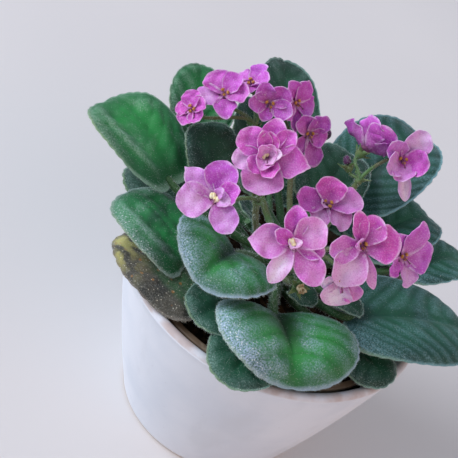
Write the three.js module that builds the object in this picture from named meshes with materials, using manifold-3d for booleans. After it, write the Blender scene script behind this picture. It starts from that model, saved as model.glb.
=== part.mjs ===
// A potted African violet: a rosette of velvety leaves and a few flower stalks, growing in a
// thin nursery pot that stands inside a plain white cover pot.
// Millimetres, +Z up. The origin is the centre of the cover pot's flat base.
// Every piece that grew or was made on its own is one named mesh.
import * as THREE from 'three';
import { mergeVertices } from 'three/addons/utils/BufferGeometryUtils.js';
import Module from 'manifold-3d';

const wasm = await Module();
wasm.setup();

// ---------------------------------------------------------------- driving dimensions

const GAP = 0.3;                 // clearance between two pieces that touch
const SLIVER = 0.06;             // features smaller than this are smoothed away

const COVER_POT = {
  height: 90,
  rimRadius: 70,
  footRadius: 47,
  belly: 1.4,                    // how far the wall swells beyond a straight cone, at mid height
  wall: 5,
  floor: 7,
  footEdge: 1.5,                 // rounding where the wall meets the base
  sides: 40,
};

const NURSERY_POT = {
  height: 80,
  rimRadius: 63,
  footRadius: 39,
  wall: 1.4,
  floor: 2,
  lip: 1.6,                      // how far the rolled rim stands out from the wall
  lipHeight: 7,
  holes: 4,
  holeRadius: 4,
  holeRing: 22,
  sides: 32,
};

const SOIL = {
  depth: 69,
  mound: 5,                      // how much higher the middle is than the edge
  brow: 0.6,                     // where the mound steepens, by the pot's inner radius
  browRise: 0.7,                 // how much of the mound's height is reached there
};

const CROWN = {
  radius: 8,
  foot: 7.2,                     // radius where it stands in the soil
  flare: 4,                      // height over which it widens from the foot
  shoulder: 105,
  top: 109,
  cap: 4.8,                      // radius just under the top
  sides: 14,
};

const BLADE = {
  thickness: 1.8,
  lobe: 0.2,                     // how far the two basal lobes reach back, by the blade's length
  lean: 0.82,                    // under 1 puts the widest place towards the base
  fullness: 0.85,                // under 1 makes both ends blunter
  across: 4,                     // facets across and along
  along: 7,
};

const PETIOLE = {
  radius: 2.1,
  sides: 5,
  sink: 4,                       // how far it runs on under the blade
  handle: 0.35,                  // how far each end keeps its direction, by the petiole's reach
};

const PETAL = {
  thickness: 0.7,
  sink: 0.8,                     // how deep its narrow end sits in the throat
  lean: 1.5,                     // over 1 puts the widest place towards the tip
  fullness: 0.58,                // under 1 makes the outline blunter
  cup: 0.1,                      // rise of the side margins, by its width
  recurve: 0.12,                 // how far the tip bends back, by its length
  across: 2,
  along: 5,
};

const THROAT = { radius: 2.6, back: 1.8, front: 0.6, taper: 0.7, sides: 8 };
const ANTHER = { radius: 1.2, apart: 0.96, rise: 0.84 };
const CALYX = { length: 3.2, radius: 2.4, mouth: 1.92, shoulder: 0.8, sink: 0.6, sides: 6 };

const STALK = {
  radius: 1.5,
  sides: 5,
  knuckle: 1.95,                 // radius of the swelling where the pedicels part
  start: 0.15,                   // how far it runs straight out of the crown, by its reach
  handle: 0.4,
};

const PEDICEL = { radius: 0.9, sides: 4, handle: 0.4 };
const BAR_STEPS = 4;             // facets along a petiole, stalk or pedicel

// Heights that follow from the pots standing in each other.
const NURSERY_BASE = COVER_POT.floor + GAP;
const SOIL_BASE = NURSERY_BASE + NURSERY_POT.floor + GAP;
const SOIL_TOP = SOIL_BASE + SOIL.depth;

// ---------------------------------------------------------------- leaves

// base and tip are the two ends of the blade's midrib. bow lifts the middle of the midrib above
// the straight line between them, cup lifts both side margins, fold makes a valley of the midrib,
// roll turns the blade about its midrib, left side up, and skew sweeps the right side forward and
// the left side back. stalk is the height on the crown where the petiole grows, and aim the
// compass direction in degrees that it leaves in. A leaf may set its own lean and fullness.
const LEAVES = {
  leaf_left_upper: {
    base: [-57.4, -4.6, 111.6], tip: [-100.8, 11.6, 125.6], width: 42, lean: 1.3, fullness: 0.65,
    bow: 5, cup: 4, fold: 0, roll: -4, skew: 0, stalk: 97.8, aim: 184,
  },
  leaf_back_left: {
    base: [-61, 43.5, 107.5], tip: [-75, 70.5, 129.5], width: 34, fullness: 1.1,
    bow: 3, cup: 4, fold: 2, roll: 0, skew: 0, stalk: 98, aim: 142,
  },
  leaf_inner_left: {
    base: [-44, 10.2, 114.4], tip: [-57.5, 21.2, 131], width: 31, fullness: 0.6,
    bow: 2, cup: 3, fold: 0, roll: 0, skew: 0, stalk: 101, aim: 165,
  },
  leaf_back: {
    base: [-21, 46, 114], tip: [-39, 90.5, 141], width: 34,
    bow: 4, cup: 5, fold: 2, roll: 0, skew: 0, stalk: 96, aim: 102,
  },
  leaf_back_right: {
    base: [18, 47, 110], tip: [41, 94, 135], width: 50,
    bow: 6, cup: 4, fold: 3, roll: 0, skew: 0, stalk: 94, aim: 70,
  },
  leaf_right: {
    base: [32, 32, 98.5], tip: [60, 66, 111], width: 42,
    bow: 4, cup: 2, fold: 3, roll: 0, skew: 0, stalk: 91, aim: 44,
  },
  leaf_right_low: {
    base: [55, 29.2, 101.2], tip: [86, 55.5, 103], width: 29,
    bow: 4, cup: 0, fold: 0, roll: 0, skew: 0, stalk: 87, aim: 22,
  },
  leaf_right_front: {
    base: [33, -20, 99], tip: [94, 11, 96], width: 50,
    bow: 6, cup: -3, fold: 3, roll: 0, skew: 0, stalk: 90.5, aim: -25,
  },
  leaf_front: {
    base: [4, -36, 98], tip: [21, -66, 94], width: 61,
    bow: 5, cup: -15, fold: 19, roll: 0, skew: -3.5, stalk: 93, aim: -80,
  },
  leaf_front_upper: {
    base: [-21, -25, 109], tip: [-29, -52, 110], width: 49,
    bow: 4, cup: -10, fold: 15, roll: 0, skew: -3, stalk: 100, aim: -128,
  },
  leaf_left: {
    base: [-37, -28.2, 98], tip: [-74.5, -13.4, 104.5], width: 38, fullness: 0.65,
    bow: 3.5, cup: 0, fold: 0, roll: 0, skew: 0, stalk: 94, aim: 210,
  },
  leaf_left_low: {
    base: [-25, -44.5, 91.6], tip: [-68, -26.5, 94], width: 36,
    bow: 2.5, cup: 0, fold: 0, roll: 0, skew: 0, stalk: 90, aim: 228,
  },
  leaf_front_left_low: {
    base: [-11, -34, 95.2], tip: [-25, -57, 96], width: 30,
    bow: 1, cup: 0, fold: 1, roll: 0, skew: 0, stalk: 94, aim: 248,
  },
  leaf_front_low: {
    base: [2, -46, 92.8], tip: [-4, -77, 93], width: 32,
    bow: 1, cup: 0, fold: 1, roll: 0, skew: 0, stalk: 87, aim: 282,
  },
  leaf_front_right_low: {
    base: [37, -26, 92], tip: [59.5, -39, 93], width: 30,
    bow: 2, cup: 0, fold: 0, roll: 0, skew: 0, stalk: 86, aim: -44,
  },
  leaf_left_hidden: {
    base: [-42, 17, 97.5], tip: [-80, 0, 100.5], width: 40,
    bow: 1.5, cup: 0, fold: 0, roll: 0, skew: 0, stalk: 90, aim: 168,
  },
  leaf_back_left_low: {
    base: [-42, 30, 93], tip: [-74, 50, 98], width: 40,
    bow: 3, cup: 1, fold: 0, roll: 0, skew: 0, stalk: 87.5, aim: 146,
  },
  leaf_back_low: {
    base: [-16, 44, 93], tip: [-28, 82, 99], width: 42,
    bow: 4, cup: 1, fold: 1, roll: 0, skew: 0, stalk: 89, aim: 112,
  },
  leaf_back_right_low: {
    base: [14, 46, 93], tip: [23, 84, 99], width: 40,
    bow: 3, cup: 1, fold: 1, roll: 0, skew: 0, stalk: 87.5, aim: 74,
  },
  leaf_right_back_low: {
    base: [40, 40, 91.5], tip: [64, 62, 95], width: 36,
    bow: 3, cup: 1, fold: 0, roll: 0, skew: 0, stalk: 85.5, aim: 48,
  },
  leaf_back_inner: {
    base: [-31.5, 31, 113.5], tip: [-44, 48.5, 137.5], width: 24,
    bow: 2, cup: 3, fold: 0, roll: 0, skew: 0, stalk: 101, aim: 118,
  },
  leaf_centre_back: {
    base: [4, 28, 112], tip: [9, 61, 127], width: 34,
    bow: 3, cup: 2, fold: 2, roll: 0, skew: 0, stalk: 99, aim: 84,
  },
  leaf_centre_front: {
    base: [-19, -4, 109], tip: [-29, -8, 121], width: 15,
    bow: 2, cup: 2, fold: 0, roll: 0, skew: 0, stalk: 105, aim: 182,
  },
  leaf_heart_front: {
    base: [8, -20, 99.5], tip: [18.5, -24.5, 101], width: 14,
    bow: 1, cup: 1, fold: 1, roll: 0, skew: 0, stalk: 97.3, aim: -56,
  },
  leaf_heart_right: {
    base: [22, -15.5, 103.4], tip: [38, -21.5, 105.2], width: 14,
    bow: 1, cup: 1, fold: 0, roll: 0, skew: 0, stalk: 95, aim: -28,
  },
};

// ---------------------------------------------------------------- flowers

// centre is the middle of the throat. face is where the flower looks: the compass direction and
// the elevation, in degrees. Each petal is [turn, length, width, lift]: turn is clockwise from
// straight up, seen from the front, and lift is how far it leans forward out of a flat flower.
const FLOWERS = {
  flower_centre: {
    centre: [-26, -14, 150], face: [-95, 42],
    petals: [[-73, 15, 12, 16], [-11, 16, 10, 14], [22, 15, 9, 20], [75, 16, 13, 12],
      [163, 16, 17, 14], [240, 14, 10, 8], [-38, 12, 6, 42], [140, 11, 8, 38]],
  },
  flower_left: {
    centre: [-37, -36, 138], face: [-106, 40],
    petals: [[-80, 16, 9, 14], [-15, 15, 13, 22], [46, 12, 9, 34], [120, 15, 11, 8], [228, 15, 14, 18]],
  },
  flower_front: {
    centre: [-4, -46, 142], face: [-86, 40],
    petals: [[-19, 14, 9, 22], [37, 14, 13, 26], [85, 12, 8, 8], [125, 18, 11, 10],
      [190, 17, 8, 12], [253, 16, 13, 12], [278, 10, 6, 36]],
  },
  flower_front_back: {
    centre: [4, -8, 138], face: [-78, 66],
    petals: [[262, 14, 12, 10], [-4, 12, 13, 30], [66, 16, 12, 14], [122, 13, 11, 2], [200, 12, 9, 6]],
  },
  flower_front_right: {
    centre: [21, -26, 140], face: [-78, 42],
    petals: [[-30, 15, 7, 32], [15, 13, 12, 20], [70, 16, 15, 10], [144, 18, 5, 4],
      [194, 18, 15, 14], [240, 14, 11, 18]],
  },
  flower_front_under: {
    centre: [20, -36, 128], face: [-80, 8],
    petals: [[115, 11, 9, 10], [175, 11, 13, 14], [240, 8, 7, 10]],
  },
  flower_right_low: {
    centre: [41, -8, 131], face: [-42, 34],
    petals: [[-30, 12, 10, 20], [26, 17, 12, 26], [96, 17, 15, 12], [158, 15, 9, 10], [225, 10, 8, 10]],
  },
  flower_right: {
    centre: [28, 35, 148], face: [-78, 28],
    petals: [[18, 17, 12, 28], [78, 13, 12, 42], [152, 19, 6, 4], [168, 11, 11, 44],
      [236, 11, 11, 44], [305, 12, 10, 34]],
  },
  flower_right_back: {
    centre: [12, 38, 143], face: [60, 38],
    petals: [[-100, 13, 14, 42], [-36, 16, 17, 45], [29, 16, 17, 46], [92, 17, 14, 20],
      [180, 14, 13, 40]],
  },
  flower_back_left: {
    centre: [-63.2, 13.4, 138.4], face: [-130, 36],
    petals: [[-50, 9, 9, 20], [22, 8, 8, 20], [94, 8, 8, 14], [166, 8, 9, 10], [238, 8, 8, 14]],
  },
  flower_back_large: {
    centre: [-54, 22, 147], face: [-116, 56],
    petals: [[-72, 12, 13, 12], [0, 11, 10, 30], [58, 12, 10, 22], [130, 12, 10, 8], [215, 13, 12, 6]],
  },
  flower_back_top: {
    centre: [-46, 35, 150], face: [-150, 56],
    petals: [[-30, 11, 9, 24], [40, 11, 9, 30], [105, 10, 9, 20], [180, 9, 9, 8], [250, 10, 9, 10]],
  },
  flower_back_throat: {
    centre: [-35, 26, 150], face: [-84, 22],
    petals: [[-40, 11, 9, 34], [34, 12, 10, 30], [88, 12, 9, 30], [180, 8, 7, 30], [262, 10, 9, 34]],
  },
  flower_back_fold: {
    centre: [-25.4, 34.3, 151], face: [-30, 30],
    petals: [[-30, 12, 9, 18], [40, 12, 10, 20], [110, 13, 10, 12], [180, 14, 8, 6], [250, 11, 9, 14]],
  },
  flower_back_right: {
    centre: [-14, 33, 141], face: [-60, 16],
    petals: [[-36, 11, 10, 20], [24, 12, 10, 24], [92, 9, 9, 24], [150, 17, 9, 8], [205, 14, 8, 6]],
  },
};

// Closed buds, and one spent flower that has dropped its petals. They sit on pedicels as the
// open flowers do.
const BUDS = {
  bud_back: { centre: [-8, 43, 138], face: [30, 20], radius: 3.2 },
  bud_right: { centre: [7, 31, 138], face: [150, 45], radius: 1.8 },
  spent_flower: { centre: [9, -29, 110], face: [-60, 30], radius: 1.6 },
};

// root is the height on the crown where the stalk grows, aim the compass direction in degrees
// that it leaves in, and fork the point where its pedicels part.
const STALKS = {
  stalk_left: {
    root: 103, aim: 204, fork: [-22, -22, 134],
    heads: ['flower_centre', 'flower_left'],
  },
  stalk_front: {
    root: 100, aim: -76, fork: [8, -24, 124],
    heads: ['flower_front', 'flower_front_back', 'flower_front_right', 'flower_front_under',
      'flower_right_low'],
  },
  stalk_spent: {
    root: 98, aim: -92, fork: [6, -22, 106],
    heads: ['spent_flower'],
  },
  stalk_right: {
    root: 100, aim: 46, fork: [15, 26, 134],
    heads: ['flower_right', 'flower_right_back', 'bud_right'],
  },
  stalk_back_left: {
    root: 103, aim: 142, fork: [-36, 26, 135],
    heads: ['flower_back_left', 'flower_back_large', 'flower_back_top', 'flower_back_throat'],
  },
  stalk_back: {
    root: 103, aim: 96, fork: [-15, 33, 127],
    heads: ['flower_back_fold', 'flower_back_right', 'bud_back'],
  },
};

// ---------------------------------------------------------------- small solids

// Turns a closed three.js geometry into a manifold solid, whichever way its faces point.
function solid(geometry) {
  const bare = geometry.clone();
  bare.deleteAttribute('normal');
  bare.deleteAttribute('uv');
  const merged = mergeVertices(bare, 1e-4);
  const vertProperties = new Float32Array(merged.attributes.position.array);
  const triVerts = new Uint32Array(merged.index.array);
  const made = new wasm.Manifold(new wasm.Mesh({ numProp: 3, vertProperties, triVerts }));
  if (made.volume() >= 0) return made;
  for (let i = 0; i < triVerts.length; i += 3) {
    [triVerts[i + 1], triVerts[i + 2]] = [triVerts[i + 2], triVerts[i + 1]];
  }
  return new wasm.Manifold(new wasm.Mesh({ numProp: 3, vertProperties, triVerts }));
}

// Turns a manifold solid back into a geometry with vertices of its own.
function geometryOf(made) {
  const mesh = made.getMesh();
  const geometry = new THREE.BufferGeometry();
  const position = new THREE.BufferAttribute(new Float32Array(mesh.vertProperties), 3);
  geometry.setAttribute('position', position);
  geometry.setIndex(new THREE.BufferAttribute(new Uint32Array(mesh.triVerts), 1));
  geometry.computeVertexNormals();
  return geometry;
}

// Joins solids that grew as one, and clears the slivers that the joins leave.
function join(solids) {
  return solids.reduce((whole, next) => whole.add(next)).simplify(SLIVER);
}

// A turned solid about the Z axis from [radius, height] pairs that start and end on the axis.
function turned(profile, segments) {
  const points = profile.map(([radius, height]) => new THREE.Vector2(radius, height));
  return solid(new THREE.LatheGeometry(points, segments).rotateX(Math.PI / 2));
}

// A round bar along a curve, capped at both ends.
function bar(curve, radius, sides) {
  const section = new THREE.Shape();
  for (let i = 0; i < sides; i += 1) {
    const turn = (i / sides) * 2 * Math.PI;
    const x = radius * Math.cos(turn);
    const y = radius * Math.sin(turn);
    if (i === 0) section.moveTo(x, y);
    else section.lineTo(x, y);
  }
  section.closePath();
  const options = { extrudePath: curve, steps: BAR_STEPS, bevelEnabled: false };
  return solid(new THREE.ExtrudeGeometry(section, options));
}

// Spacing that packs rows closer towards both ends, so that the ends come out round.
function eased(fraction) {
  return (1 - Math.cos(Math.PI * fraction)) / 2;
}

// A lens-shaped body over a sheet. surface(s, t) gives the sheet's points, with s from -1 at the
// left margin to 1 at the right, and t from 0 to 1 along it. The sheet narrows to one point at
// both ends, and its two faces meet all round the margin.
function lens(surface, { across, along, thickness }) {
  const positions = [];
  const index = [];
  const push = (point) => positions.push(point.x, point.y, point.z) / 3 - 1;
  const step = 1e-3;

  const normalAt = (s, t) => {
    const alongStep = surface(s, t + step).sub(surface(s, t - step));
    const acrossStep = surface(s + step, t).sub(surface(s - step, t));
    return alongStep.cross(acrossStep).normalize();
  };

  const start = push(surface(0, 0));
  const end = push(surface(0, 1));
  const rows = [];
  for (let i = 1; i < along; i += 1) {
    const t = eased(i / along);
    const row = { top: [], bottom: [] };
    for (let j = 0; j <= across; j += 1) {
      const s = (2 * j) / across - 1;
      const point = surface(s, t);
      if (j === 0 || j === across) {
        const margin = push(point);
        row.top.push(margin);
        row.bottom.push(margin);
        continue;
      }
      const half = normalAt(s, t).multiplyScalar(thickness / 2);
      row.top.push(push(point.clone().add(half)));
      row.bottom.push(push(point.clone().sub(half)));
    }
    rows.push(row);
  }

  const face = (a, b, c) => {
    if (a !== b && b !== c && c !== a) index.push(a, b, c);
  };
  for (let j = 0; j < across; j += 1) {
    const first = rows[0];
    const last = rows[rows.length - 1];
    face(start, first.top[j], first.top[j + 1]);
    face(start, first.bottom[j + 1], first.bottom[j]);
    face(end, last.top[j + 1], last.top[j]);
    face(end, last.bottom[j], last.bottom[j + 1]);
    for (let i = 0; i + 1 < rows.length; i += 1) {
      const near = rows[i];
      const far = rows[i + 1];
      face(near.top[j], far.top[j], far.top[j + 1]);
      face(near.top[j], far.top[j + 1], near.top[j + 1]);
      face(near.bottom[j], far.bottom[j + 1], far.bottom[j]);
      face(near.bottom[j], near.bottom[j + 1], far.bottom[j + 1]);
    }
  }
  const geometry = new THREE.BufferGeometry();
  geometry.setAttribute('position', new THREE.Float32BufferAttribute(positions, 3));
  geometry.setIndex(index);
  return solid(geometry);
}

const vector = (array) => new THREE.Vector3(...array);
const UP = new THREE.Vector3(0, 0, 1);
const HEADS = { ...FLOWERS, ...BUDS };

// Evenly spread values from one end to the other, both included.
function spread(from, to, steps) {
  return Array.from({ length: steps + 1 }, (_, i) => from + ((to - from) * i) / steps);
}

// ---------------------------------------------------------------- pots and soil

// The radius of a pot's wall at a height: a cone that swells a little at mid height.
function wallRadius(footRadius, rimRadius, belly, fraction) {
  return footRadius + (rimRadius - footRadius) * fraction + 4 * belly * fraction * (1 - fraction);
}

function coverPot() {
  const { height, rimRadius, footRadius, belly, wall, floor, footEdge, sides } = COVER_POT;
  const lip = wall / 2;
  const shoulder = height - lip;
  const radiusAt = (z) => wallRadius(footRadius, rimRadius, belly, z / height);
  const profile = [[0, 0], [footRadius - footEdge, 0]];
  for (const z of spread(footEdge, shoulder, 4)) profile.push([radiusAt(z), z]);
  for (const turn of [45, 90, 135]) {
    const angle = THREE.MathUtils.degToRad(turn);
    profile.push([rimRadius - lip * (1 - Math.cos(angle)), shoulder + lip * Math.sin(angle)]);
  }
  for (const z of spread(shoulder, floor, 3)) profile.push([radiusAt(z) - wall, z]);
  profile.push([0, floor]);
  return turned(profile, sides);
}

// The inner radius of the nursery pot at a height above its base.
function nurseryInside(height) {
  const { footRadius, rimRadius, wall, lip } = NURSERY_POT;
  return wallRadius(footRadius, rimRadius - lip, 0, height / NURSERY_POT.height) - wall;
}

function nurseryPot() {
  const { height, rimRadius, footRadius, wall, floor, lip, lipHeight } = NURSERY_POT;
  const { holes, holeRadius, holeRing, sides } = NURSERY_POT;
  const shoulder = height - lipHeight;
  const outer = (z) => nurseryInside(z) + wall;
  const body = turned([
    [0, 0],
    [footRadius, 0],
    [outer(shoulder), shoulder],
    [outer(shoulder) + lip, shoulder],
    [rimRadius, height],
    [rimRadius - lip - wall, height],
    [nurseryInside(floor), floor],
    [0, floor],
  ], sides);
  const drill = new THREE.CylinderGeometry(holeRadius, holeRadius, 4 * floor, 8).rotateX(Math.PI / 2);
  let made = body;
  for (let i = 0; i < holes; i += 1) {
    const turn = (i / holes) * 2 * Math.PI;
    const hole = solid(drill.clone().translate(holeRing * Math.cos(turn), holeRing * Math.sin(turn), 0));
    made = made.subtract(hole);
  }
  return made.translate(0, 0, NURSERY_BASE);
}

function soil() {
  const { depth, mound, brow, browRise } = SOIL;
  const base = NURSERY_POT.floor + GAP;
  const top = base + depth;
  return turned([
    [0, base],
    [nurseryInside(base) - GAP, base],
    [nurseryInside(top) - GAP, top],
    [nurseryInside(top) * brow, top + mound * browRise],
    [0, top + mound],
  ], NURSERY_POT.sides).translate(0, 0, NURSERY_BASE);
}

// The short stem that every leaf and flower stalk grows from, standing in the soil.
function crown() {
  const { radius, foot, flare, shoulder, top, cap, sides } = CROWN;
  const base = SOIL_TOP + SOIL.mound + GAP;
  return turned([
    [0, base],
    [foot, base],
    [radius, base + flare],
    [radius, shoulder],
    [cap, top - 1],
    [0, top],
  ], sides);
}

// ---------------------------------------------------------------- leaf

// The blade's own directions: along its midrib, across it to the left, and out of its face.
function bladeFrame(leaf) {
  const base = vector(leaf.base);
  const along = vector(leaf.tip).sub(base);
  const length = along.length();
  along.normalize();
  const left = new THREE.Vector3().crossVectors(UP, along).normalize();
  const face = new THREE.Vector3().crossVectors(along, left);
  const roll = THREE.MathUtils.degToRad(leaf.roll);
  left.applyAxisAngle(along, roll);
  face.applyAxisAngle(along, roll);
  return { base, along, left, face, length };
}

// The half width of a blade along its length, as a fraction: an egg shape, widest before the middle.
function bladeOutline(t, lean, fullness) {
  const moved = Math.min(Math.max(t, 0), 1) ** lean;
  return Math.sqrt(4 * moved * (1 - moved)) ** fullness;
}

function bladeSurface(leaf) {
  const { base, along, left, face, length } = bladeFrame(leaf);
  const half = leaf.width / 2;
  const { lean, fullness } = { ...BLADE, ...leaf };
  return (s, t) => {
    const outline = bladeOutline(t, lean, fullness);
    const lobe = BLADE.lobe * outline * s * s * Math.max(1 - t, 0) ** 3;
    const run = length * (t - lobe) + leaf.skew * outline * s;
    const side = -half * outline * s;
    const rise = 4 * leaf.bow * t * (1 - t)
      + outline * (leaf.cup * s * s + leaf.fold * Math.abs(s));
    return base.clone()
      .addScaledVector(along, run)
      .addScaledVector(left, side)
      .addScaledVector(face, rise);
  };
}

function leafSolid(leaf) {
  const blade = lens(bladeSurface(leaf), BLADE);
  const { base, along } = bladeFrame(leaf);
  const aim = THREE.MathUtils.degToRad(leaf.aim);
  const outward = new THREE.Vector3(Math.cos(aim), Math.sin(aim), 0);
  const root = outward.clone().multiplyScalar(CROWN.radius + GAP).setZ(leaf.stalk);
  const end = base.clone().addScaledVector(along, PETIOLE.sink);
  const handle = root.distanceTo(end) * PETIOLE.handle;
  const petiole = new THREE.CubicBezierCurve3(
    root,
    root.clone().addScaledVector(outward, handle),
    end.clone().addScaledVector(along, -handle),
    end,
  );
  return join([blade, bar(petiole, PETIOLE.radius, PETIOLE.sides)]);
}

// ---------------------------------------------------------------- flower

// A flower's own directions: out of its face, straight up across its face, and to its right.
function flowerFrame(flower) {
  const [heading, elevation] = flower.face.map(THREE.MathUtils.degToRad);
  const face = new THREE.Vector3(
    Math.cos(elevation) * Math.cos(heading),
    Math.cos(elevation) * Math.sin(heading),
    Math.sin(elevation),
  );
  const up = UP.clone().addScaledVector(face, -face.z).normalize();
  const right = new THREE.Vector3().crossVectors(up, face);
  return { centre: vector(flower.centre), face, up, right };
}

// The half width of a petal along its length, as a fraction: narrow at the throat, broad beyond
// the middle.
function petalOutline(t) {
  const moved = Math.min(Math.max(t, 0), 1) ** PETAL.lean;
  return Math.sin(Math.PI * moved) ** PETAL.fullness;
}

function petalSurface(frame, [turn, length, width, lift]) {
  const angle = THREE.MathUtils.degToRad(turn);
  const out = frame.up.clone().multiplyScalar(Math.cos(angle))
    .addScaledVector(frame.right, Math.sin(angle));
  const across = new THREE.Vector3().crossVectors(frame.face, out);
  const lean = THREE.MathUtils.degToRad(lift);
  const along = out.clone().multiplyScalar(Math.cos(lean)).addScaledVector(frame.face, Math.sin(lean));
  const normal = new THREE.Vector3().crossVectors(along, across);
  return (s, t) => {
    const outline = petalOutline(t);
    const cup = PETAL.cup * width * s * s * outline;
    const recurve = -PETAL.recurve * length * t * t;
    return frame.centre.clone()
      .addScaledVector(along, (length + PETAL.sink) * t - PETAL.sink)
      .addScaledVector(across, -0.5 * width * outline * s)
      .addScaledVector(normal, cup + recurve);
  };
}

// Turns a solid that stands on the Z axis so that it stands on the flower's facing direction.
function faceTo(made, frame) {
  const place = new THREE.Matrix4().makeBasis(frame.right, frame.up, frame.face);
  place.setPosition(frame.centre);
  return made.transform(place.elements);
}

// The petals of one flower are joined at the throat, and its two anthers grow from the throat.
function corolla(flower) {
  const frame = flowerFrame(flower);
  const { radius, back, front, taper, sides } = THROAT;
  const throat = turned([[0, -back], [radius * taper, -back], [radius, front], [0, front]], sides);
  const anthers = [-1, 1].map((side) => solid(new THREE.IcosahedronGeometry(ANTHER.radius, 0))
    .translate(side * ANTHER.apart, 0, front + ANTHER.rise));
  const centre = faceTo(join([throat, ...anthers]), frame);
  const petals = flower.petals.map((petal) => lens(petalSurface(frame, petal), PETAL));
  return join([centre, ...petals]);
}

// ---------------------------------------------------------------- flower stalk

// An egg-shaped solid: a closed bud or the seed pod of a spent flower.
function bud(flower) {
  const { radius } = flower;
  const { back, sides } = THROAT;
  const waist = radius * 0.75;
  const egg = turned([[0, -back], [waist, -back], [radius, 0], [waist, radius], [0, radius * 1.5]], sides);
  return faceTo(egg, flowerFrame(flower));
}

// A stalk grows from the crown to a fork, and a pedicel runs from the fork to each flower's back,
// ending in a green calyx.
function calyxAndPedicel(fork, rise, flower) {
  const frame = flowerFrame(flower);
  const { length, radius, mouth, shoulder, sink, sides } = CALYX;
  const front = -THROAT.back - GAP;
  const cup = turned([
    [0, front - length],
    [PEDICEL.radius, front - length],
    [radius, front - shoulder],
    [mouth, front],
    [0, front],
  ], sides);
  const end = frame.centre.clone().addScaledVector(frame.face, front - length + sink);
  const handle = fork.distanceTo(end) * PEDICEL.handle;
  const curve = new THREE.CubicBezierCurve3(
    fork,
    fork.clone().addScaledVector(rise, handle),
    end.clone().addScaledVector(frame.face, -handle),
    end,
  );
  return join([faceTo(cup, frame), bar(curve, PEDICEL.radius, PEDICEL.sides)]);
}

function flowerStalk(stalk) {
  const aim = THREE.MathUtils.degToRad(stalk.aim);
  const outward = new THREE.Vector3(Math.cos(aim), Math.sin(aim), 0);
  const root = outward.clone().multiplyScalar(CROWN.radius + GAP).setZ(stalk.root);
  const fork = vector(stalk.fork);
  const reach = root.distanceTo(fork);
  const climb = fork.clone().sub(root).normalize().add(UP).normalize();
  const curve = new THREE.CubicBezierCurve3(
    root,
    root.clone().addScaledVector(outward, reach * STALK.start),
    fork.clone().addScaledVector(climb, -reach * STALK.handle),
    fork,
  );
  const rise = curve.getTangent(1);
  const branches = stalk.heads.map((name) => calyxAndPedicel(fork, rise, HEADS[name]));
  const knuckle = solid(new THREE.IcosahedronGeometry(STALK.knuckle, 0)).translate(...stalk.fork);
  return join([bar(curve, STALK.radius, STALK.sides), knuckle, ...branches]);
}

// ---------------------------------------------------------------- assembly

const FINISH = {
  ceramic: { color: 0xd8dce4, roughness: 0.6, metalness: 0 },
  plastic: { color: 0x8a7460, roughness: 0.6, metalness: 0 },
  peat: { color: 0x3a2a1e, roughness: 1, metalness: 0 },
  leaf: { color: 0x2c6b43, roughness: 0.75, metalness: 0 },
  oldLeaf: { color: 0x6c6a55, roughness: 0.8, metalness: 0 },
  stem: { color: 0x6c8a4a, roughness: 0.7, metalness: 0 },
  petal: { color: 0xc264b8, roughness: 0.7, metalness: 0 },
  bud: { color: 0x5a2a5c, roughness: 0.6, metalness: 0 },
};

const violet = new THREE.Group();

function place(name, made, finish) {
  const mesh = new THREE.Mesh(geometryOf(made), new THREE.MeshStandardMaterial(FINISH[finish]));
  mesh.name = name;
  violet.add(mesh);
}

place('cover_pot', coverPot(), 'ceramic');
place('nursery_pot', nurseryPot(), 'plastic');
place('soil', soil(), 'peat');
place('crown', crown(), 'stem');
for (const [name, leaf] of Object.entries(LEAVES)) {
  place(name, leafSolid(leaf), name === 'leaf_left_low' ? 'oldLeaf' : 'leaf');
}

for (const [name, stalk] of Object.entries(STALKS)) place(name, flowerStalk(stalk), 'stem');
for (const [name, flower] of Object.entries(FLOWERS)) place(name, corolla(flower), 'petal');
for (const [name, closed] of Object.entries(BUDS)) place(name, bud(closed), 'bud');

export default violet;
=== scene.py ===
"""A potted African violet: velvety leaves and orchid-pink flowers over a white cover pot.

Every sub-assembly is a class that holds its sizes in millimetres, builds its meshes with
Blender's modelling operators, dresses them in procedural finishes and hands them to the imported
frame in place of the plain nodes. Meshes are written in metres, in the frame's own axes.
"""

import logging
import math
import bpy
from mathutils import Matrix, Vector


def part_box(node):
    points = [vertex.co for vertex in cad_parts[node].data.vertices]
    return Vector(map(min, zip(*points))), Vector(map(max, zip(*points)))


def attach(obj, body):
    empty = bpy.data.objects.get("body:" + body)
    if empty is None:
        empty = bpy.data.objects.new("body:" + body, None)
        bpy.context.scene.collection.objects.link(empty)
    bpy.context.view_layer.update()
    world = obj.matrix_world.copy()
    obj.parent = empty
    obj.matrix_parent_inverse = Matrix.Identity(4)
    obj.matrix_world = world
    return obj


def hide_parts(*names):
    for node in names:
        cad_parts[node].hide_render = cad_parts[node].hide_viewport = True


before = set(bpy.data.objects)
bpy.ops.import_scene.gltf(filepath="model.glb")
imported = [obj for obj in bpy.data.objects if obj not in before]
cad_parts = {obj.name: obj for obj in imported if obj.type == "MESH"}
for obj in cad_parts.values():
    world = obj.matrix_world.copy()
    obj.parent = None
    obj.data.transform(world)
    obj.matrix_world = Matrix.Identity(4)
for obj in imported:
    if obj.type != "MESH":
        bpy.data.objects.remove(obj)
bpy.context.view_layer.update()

import zlib
from dataclasses import dataclass, field
from enum import Enum
from typing import Dict, List, Optional, Sequence, Tuple

import bpy
import numpy as np
from mathutils import Matrix, Vector, noise

log = logging.getLogger("violet")

Array = np.ndarray
Piece = bpy.types.Object
Triple = Tuple[float, float, float]
Pair = Tuple[float, float]
Profile = List[Pair]
Socket = bpy.types.NodeSocket
Material = bpy.types.Material

MM = 0.001                       # one millimetre in Blender's metres
GAP = 0.3                        # clearance between two pieces that touch
GOLDEN_TURN = 137.5              # degrees from one young leaf to the next
UP = np.array([0.0, 0.0, 1.0])
ORIGIN = np.zeros(3)
BODY = "root"                    # the frame's one body


# ---------------------------------------------------------------- small helpers


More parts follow.
